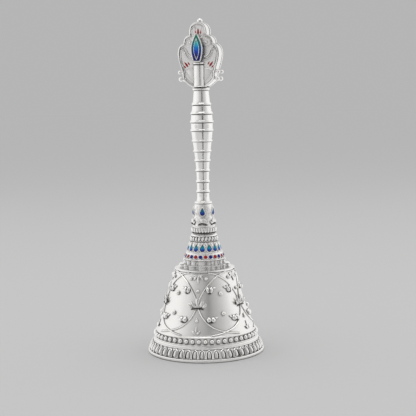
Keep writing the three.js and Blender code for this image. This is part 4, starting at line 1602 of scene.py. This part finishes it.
# %% Pilasters
def pilaster(azimuth, node, name):
    bm = bmesh.new()
    base, head = foot(node), top(node)
    line = [
        (0, base), (4.15, base), (4.15, base + 0.35), (3.85, base + 0.7), (3.72, base + 1.2), (
            3.68, base + 6
        ),
        (3.68, head - 0.75), (3.35, head - 0.6), (3.35, head - 0.2), (4.0, head - 0.05), (
            4.12, head + 0.2
        ),
        (4.12, head + 0.85), (3.95, head + 1.1), (0, head + 1.1),
    ]
    turned(bm, softened(line, 0.12), steps=64, closed=False)
    bmesh.ops.translate(bm, vec=(0, -3.0, 0), verts=bm.verts)
    cut = bmesh.ops.bisect_plane(
        bm, geom=bm.verts[:] + bm.edges[:] + bm.faces[:], plane_co=(0, 1.2 - FACE, 0), plane_no=(
            0, 1, 0
        ), clear_outer=True
    )["geom_cut"]
    bmesh.ops.edgeloop_fill(bm, edges=[g for g in cut if isinstance(g, bmesh.types.BMEdge)])
    bmesh.ops.rotate(
        bm, cent=(0, 0, 0), matrix=Matrix.Rotation(math.radians(azimuth), 3, "Z"), verts=bm.verts
    )
    column = finish_piece(bm, name, bright_silver, [node], merge=False)
    # A band under the capital takes the near black finish, as painted shade.
    column.data.materials.append(painted_shade_silver)
    for face in column.data.polygons:
        level = face.center.z / MM
        face.material_index = 1 if head - 0.62 < level < head - 0.12 else 0


pilaster(FINIAL_TURN, "pilaster_front", "front_column")
pilaster(FINIAL_TURN + 180, "pilaster_back", "back_column")

# %% [markdown]
# ## The flame jewels
#
# Each face carries a tall flame on a short stem. Its silver tray has a rounded border, cut off
# flat at the foot. The ring of enamel lies in the tray, open at the foot, and inside it a wire in
# the shape of a pointed oval holds the bright heart.

# %% Flame outlines
FLAME_Z = foot("flame_setting_front")
FLAME_TALL = top("flame_setting_front") - FLAME_Z
FLAME_POINT = FLAME_TALL + 1.5


def flame_side(inset):
    """The right side of the flame, from its flat foot to its point."""
    tip = FLAME_POINT - 1.7 * inset
    low = [
        (2.2 - 0.75 * inset, 0.45 * inset),
        (3.05 - inset, 2.4),
        (3.75 - inset, 4.8),
        (3.75 - inset, 7.6),
    ]
    high = [(3.75 - inset, 7.6), (3.75 - inset, 11.0), (1.85 - 0.5 * inset, 14.4 - inset), (0, tip)]
    return [tuple(p) for span in (low, high) for p in bezier(*[Vector(q) for q in span], 9)]


def heart_side(inset):
    """The right side of the pointed oval in the middle of the flame."""
    low, tip = 1.2 + 2.2 * inset, FLAME_POINT - 3.7 - 2.2 * inset
    a = [(0, low), (1.0 - inset, low + 2.2), (1.65 - inset, 5.2), (1.65 - inset, 7.3)]
    b = [(1.65 - inset, 7.3), (1.65 - inset, 9.6), (0.85 - 0.6 * inset, tip - 2.4), (0, tip)]
    return [tuple(p) for span in (a, b) for p in bezier(*[Vector(q) for q in span], 9)]


def both_sides(right):
    """A whole outline from its right side. Points that repeat are dropped."""
    whole = [
        p for i, p in enumerate(right) if i == 0 or (Vector(p) - Vector(right[i - 1])).length > 1e-4
    ]
    left = [(-x, y) for x, y in reversed(whole) if x > 1e-6]
    return whole + left


def lifted(outline, out):
    return [Vector((x, y, out)) for x, y in outline]


# %% Flames
def flame(azimuth, side):
    names = [f"flame_{part}_{side}" for part in ("setting", "ring", "heart")]
    tray = bmesh.new()
    plate(tray, both_sides(flame_side(0.12)), 1.0, 0.1)
    wire(tray, lifted(both_sides(flame_side(0.32)), 1.4), 0.34, sides=10, closed=True)
    wire(tray, lifted(both_sides(heart_side(0.0)), 1.5), 0.27, sides=8, closed=True)
    plate(tray, [(-1.75, 0), (1.75, 0), (1.6, 0.5), (-1.6, 0.5)], 1.6, 0.1)
    stem = [(0, 0.4 * FLAME_TALL, -2.3), (0, 0.4 * FLAME_TALL, 0.2)]
    wire(tray, stem, 1.0, sides=16)
    standing(tray.verts, azimuth, 6.5, FLAME_Z)
    finish_piece(
        tray, f"flame_tray_{side}", bright_silver, [names[0]], merge=False
    )
    glass = bmesh.new()
    plate(glass, both_sides(flame_side(0.5)), 1.42, 0.08)
    standing(glass.verts, azimuth, 6.5, FLAME_Z)
    finish_piece(
        glass, f"flame_outer_enamel_{side}", ring_enamel, [names[1]], merge=False
    )
    heart = bmesh.new()
    plate(heart, both_sides(heart_side(0.12)), 1.6, 0.22, segments=4)
    standing(heart.verts, azimuth, 6.5, FLAME_Z)
    finish_piece(
        heart, f"flame_heart_enamel_{side}", heart_enamel, [names[2]], merge=False
    )


flame(FINIAL_TURN, "front")
flame(FINIAL_TURN + 180, "back")

# %% [markdown]
# # Inside the bell
#
# A tie rod clamps the stack. Its nut holds a cap, and under the cap an eye turns freely. The
# clapper's own eye hangs in that one, so the ball can swing every way and strike the rim.

# %% Swivel and clapper
TURNS = [math.tau * i / 40 for i in range(40)]
eye = bmesh.new()
low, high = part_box("swivel_eye")
eye_top, eye_low = high.z / MM, low.z / MM
turned(
    eye,
    [
        (0, eye_top),
        (2.6, eye_top),
        (2.7, eye_top - 0.2),
        (2.65, eye_top - 1.4),
        (1.25, eye_top - 1.6),
        (1.2, eye_low + 5.6),
        (0, eye_low + 5.2),
    ],
    40,
    closed=False,
)
SWIVEL_CENTRE = eye_low + 3.05
loop = [(2.3 * math.cos(a), 0, SWIVEL_CENTRE + 2.3 * math.sin(a)) for a in TURNS]
wire(eye, loop, 0.75, sides=12, closed=True)
finish_piece(
    eye,
    "turned_swivel_eye",
    turned_steel,
    ["swivel_eye"],
    body="swivel",
    merge=False,
)

rod = bmesh.new()
low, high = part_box("clapper_rod")
hook_centre = high.z / MM - 2.75
loop = [(0, 2.05 * math.cos(a), hook_centre + 2.05 * math.sin(a)) for a in TURNS]
wire(rod, loop, 0.7, sides=12, closed=True)
rod_top = hook_centre - 2.05
rod_line = [
    (0, rod_top),
    (0.9, rod_top - 0.3),
    (1.55, rod_top - 1.0),
    (1.2, rod_top - 1.8),
    (1.2, low.z / MM),
    (0, low.z / MM),
]
turned(rod, softened(rod_line, 0.2), 32, closed=False)
finish_piece(
    rod,
    "forged_clapper_rod",
    turned_steel,
    ["clapper_rod"],
    body="clapper",
    merge=False,
)

low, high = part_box("clapper_ball")
BALL = (high.x - low.x) / 2 / MM
ball_centre = low.z / MM + BALL
ball_line = [(0, ball_centre - BALL)]
for step in range(1, 28):
    turn = math.pi * step / 30
    groove = 0.22 if step == 15 else 0.0
    ball_line.append(
        ((BALL - groove) * math.sin(turn), ball_centre - (BALL - groove) * math.cos(turn))
    )
ball_line += [
    (2.15, ball_centre + BALL - 0.35), (1.9, ball_centre + BALL), (1.25, ball_centre + BALL)
]
ball = bmesh.new()
turned(ball, ball_line + [(1.25, ball_centre + 3.2), (0, ball_centre + 3.2)], 64, closed=False)
finish_piece(
    ball,
    "brass_clapper_ball",
    clapper_brass,
    ["clapper_ball"],
    body="clapper",
    merge=False,
)

# %% [markdown]
# ## Plain solids that stay
#
# The rod, its washer, nut and cap, and the socket in the finial are plain turned steel in real
# life too. They keep their solids and take the steel finish.

# %% Steel on the plain solids
for node in ("tie_rod", "crown_washer", "crown_nut", "swivel_cap", "finial_socket"):
    plain = bpy.data.objects[node]
    plain.data.materials.clear()
    plain.data.materials.append(turned_steel)
print("pieces made:", len(finished))

# %% [markdown]
# # The studio
#
# The bell stands on a plain pale floor. Silver has no colour of its own, so what it reflects is
# laid out with care. A white tent surrounds it. The tent is dimmer above the camera and brighter
# at the sides, which gives the waist its grey middle and its bright flanks. A narrow black flag
# behind the camera draws the dark line down every round part. Large soft lights add the sheen.

# %% Floor
PALE = 0.58
DAYLIGHT = 0.8
SHADE = 0.45
BRIGHT = 0.92
FLOOR_IN_SILVER = 0.7
SIDE_GLOW = 0.34
CAMERA_AZIMUTH = 11.5
floor = bmesh.new()
bmesh.ops.create_circle(floor, segments=96, radius=8.0, cap_ends=True)
floor_mesh = bpy.data.meshes.new("studio_floor")
floor.to_mesh(floor_mesh)
floor.free()
floor_material = bpy.data.materials.new("Pale floor")
floor_material.use_nodes = True
floor_tree = floor_material.node_tree
floor_shader = floor_tree.nodes["Principled BSDF"]
seen_by = floor_tree.nodes.new("ShaderNodeLightPath").outputs["Is Glossy Ray"]
floor_tone = mix_colour(floor_tree, seen_by, (PALE,) * 3, (FLOOR_IN_SILVER,) * 3)
floor_tree.links.new(floor_tone, floor_shader.inputs["Base Color"])
around = Matrix.Rotation(math.radians(CAMERA_AZIMUTH), 4, "Z")


def brightening(tree, direction, darkest, low, high):
    """0 where a direction is close to the darkest one, rising to 1 away from it."""
    unit = tree.nodes.new("ShaderNodeVectorMath")
    unit.operation = "NORMALIZE"
    tree.links.new(direction, unit.inputs[0])
    along = tree.nodes.new("ShaderNodeVectorMath")
    along.operation = "DOT_PRODUCT"
    tree.links.new(unit.outputs["Vector"], along.inputs[0])
    along.inputs[1].default_value = -darkest
    spread = add(
        tree,
        "ShaderNodeMapRange",
        links={"Value": along.outputs["Value"]},
        interpolation_type="SMOOTHSTEP",
    )
    for key, value in (("From Min", low), ("From Max", high), ("To Min", 0.0), ("To Max", 1.0)):
        spread.inputs[key].default_value = value
    return spread.outputs["Result"]


# The silver sees a brighter floor at its sides than under the camera.
over_floor = add(floor_tree, "ShaderNodeTexCoord").outputs["Object"]
glow = brightening(floor_tree, over_floor, around @ Vector((0, -1, 0)), -0.5, 0.1)
floor_glow = mix_colour(floor_tree, glow, (0.0,) * 3, (SIDE_GLOW,) * 3)
floor_glow = mix_colour(floor_tree, seen_by, (0.0,) * 3, floor_glow)
floor_tree.links.new(floor_glow, floor_shader.inputs["Emission Color"])
floor_shader.inputs["Emission Strength"].default_value = 1.0
floor_shader.inputs["Roughness"].default_value = 1.0
floor_shader.inputs["Specular IOR Level"].default_value = 0.0
floor_mesh.materials.append(floor_material)
studio_floor = bpy.data.objects.new("studio_floor", floor_mesh)
bpy.context.scene.collection.objects.link(studio_floor)

# %% [markdown]
# ## Camera
#
# The camera stands a little to the right of the front column and looks slightly down. A small
# roll gives the bell its lean.

# %% Camera
CAMERA_DISTANCE = 650.0
CAMERA_HEIGHT = 160.9
CAMERA_PITCH = 6.236
CAMERA_YAW = 0.25
CAMERA_ROLL = 1.1
camera_data = bpy.data.cameras.new("studio_camera")
camera_data.lens = 90.5
camera_data.sensor_width = 36.0
camera = bpy.data.objects.new("studio_camera", camera_data)
bpy.context.scene.collection.objects.link(camera)
stand = Matrix.Translation((0, -CAMERA_DISTANCE * MM, CAMERA_HEIGHT * MM))
look = Matrix.Rotation(math.radians(-CAMERA_YAW), 4, "Z")
look = look @ Matrix.Rotation(math.radians(90 - CAMERA_PITCH), 4, "X")
roll = Matrix.Rotation(math.radians(-CAMERA_ROLL), 4, "Z")
camera.matrix_world = around @ stand @ look @ roll
bpy.context.scene.camera = camera

# %% [markdown]
# ## Soft lights
#
# Two large boxes stand beyond the sides, a narrow one fills from the left and a small one from
# the upper right. A broad one hangs overhead and lights the top of every bead and step.


# %% Lights
def softbox(name, azimuth, distance, height, width, tall, brightness):
    """A soft light with a given brightness of its face, aimed at the middle of the bell."""
    data = bpy.data.lights.new(name, "AREA")
    data.shape = "RECTANGLE"
    data.size = width
    data.size_y = tall
    data.energy = brightness * math.pi * width * tall
    light = bpy.data.objects.new(name, data)
    turn = math.radians(CAMERA_AZIMUTH + azimuth)
    light.location = (distance * math.sin(turn), -distance * math.cos(turn), height)
    aim = Vector((0, 0, 0.1)) - light.location
    light.rotation_euler = aim.to_track_quat("-Z", "Y").to_euler()
    light.visible_camera = False
    bpy.context.scene.collection.objects.link(light)
    return light


softbox("left_softbox", -108, 0.9, 0.4, 1.3, 1.3, 0.16)
softbox("left_fill", -50, 0.95, 0.35, 0.45, 1.0, 0.08)
softbox("right_softbox", 108, 0.9, 0.4, 1.3, 1.3, 0.16)
softbox("right_high_softbox", 62, 0.8, 0.75, 0.5, 0.6, 0.25)
softbox("top_softbox", 0, 0.05, 1.2, 0.8, 0.8, 1.0)

# %% [markdown]
# ## The black flag
#
# A strip of black felt runs along the table towards the camera and stands up behind it. Only
# reflections see it. It draws the dark line down the grip.

# %% Dark flag behind the camera
FLAG_AZIMUTH = 9
FLAG_HALF_ANGLE = 6
FLAG_TOP = 0.5
FLAG_FAR = 0.85
FLAG_NEAR = 0.28
flag = bmesh.new()
spread = math.tan(math.radians(FLAG_HALF_ANGLE))
levels = ((FLAG_NEAR, 0.001), (FLAG_FAR, 0.001), (FLAG_FAR, FLAG_TOP))
rows = [[flag.verts.new((x * spread * far, -far, up)) for x in (-1, 1)] for far, up in levels]
for row, above in zip(rows, rows[1:]):
    flag.faces.new((*row, *reversed(above)))
flag_place = around @ Matrix.Rotation(math.radians(FLAG_AZIMUTH), 4, "Z")
bmesh.ops.transform(flag, matrix=flag_place, verts=flag.verts)
flag_mesh = bpy.data.meshes.new("dark_flag")
flag.to_mesh(flag_mesh)
flag.free()
flag_material = bpy.data.materials.new("Black felt")
flag_material.use_nodes = True
flag_material.node_tree.nodes["Principled BSDF"].inputs["Base Color"].default_value = (
    0.004, 0.004, 0.004, 1
)
flag_mesh.materials.append(flag_material)
dark_flag = bpy.data.objects.new("dark_flag", flag_mesh)
bpy.context.scene.collection.objects.link(dark_flag)
for ray_kind in ("camera", "diffuse", "shadow"):
    setattr(dark_flag, f"visible_{ray_kind}", False)

# %% [markdown]
# ## The tent
#
# The world is a white tent. Its tone rises with the angle from its dimmest spot, high in front.
# The camera itself sees an even backdrop in the tone of the far floor.

# %% World
world = bpy.data.worlds.new("studio_world")
bpy.context.scene.world = world
world.use_nodes = True
sky = world.node_tree
rays = sky.nodes.new("ShaderNodeLightPath")
facing = add(sky, "ShaderNodeTexCoord").outputs["Generated"]
DARKEST_AZIMUTH = 8
DARKEST_ELEVATION = 45
low, high = math.cos(math.radians(DARKEST_ELEVATION)), math.sin(math.radians(DARKEST_ELEVATION))
darkest = around @ Matrix.Rotation(math.radians(DARKEST_AZIMUTH), 4, "Z") @ Vector((0, -low, high))
sideways = brightening(sky, facing, darkest, -1.0, -0.28)
tent = mix_colour(sky, sideways, (SHADE,) * 3, (BRIGHT,) * 3)
FAR = PALE * DAYLIGHT
daylight = mix_colour(sky, rays.outputs["Is Glossy Ray"], (DAYLIGHT,) * 3, tent)
backdrop = mix_colour(sky, rays.outputs["Is Camera Ray"], daylight, (FAR,) * 3)
sky.links.new(backdrop, sky.nodes["Background"].inputs["Color"])
bpy.context.scene.view_settings.view_transform = "Standard"
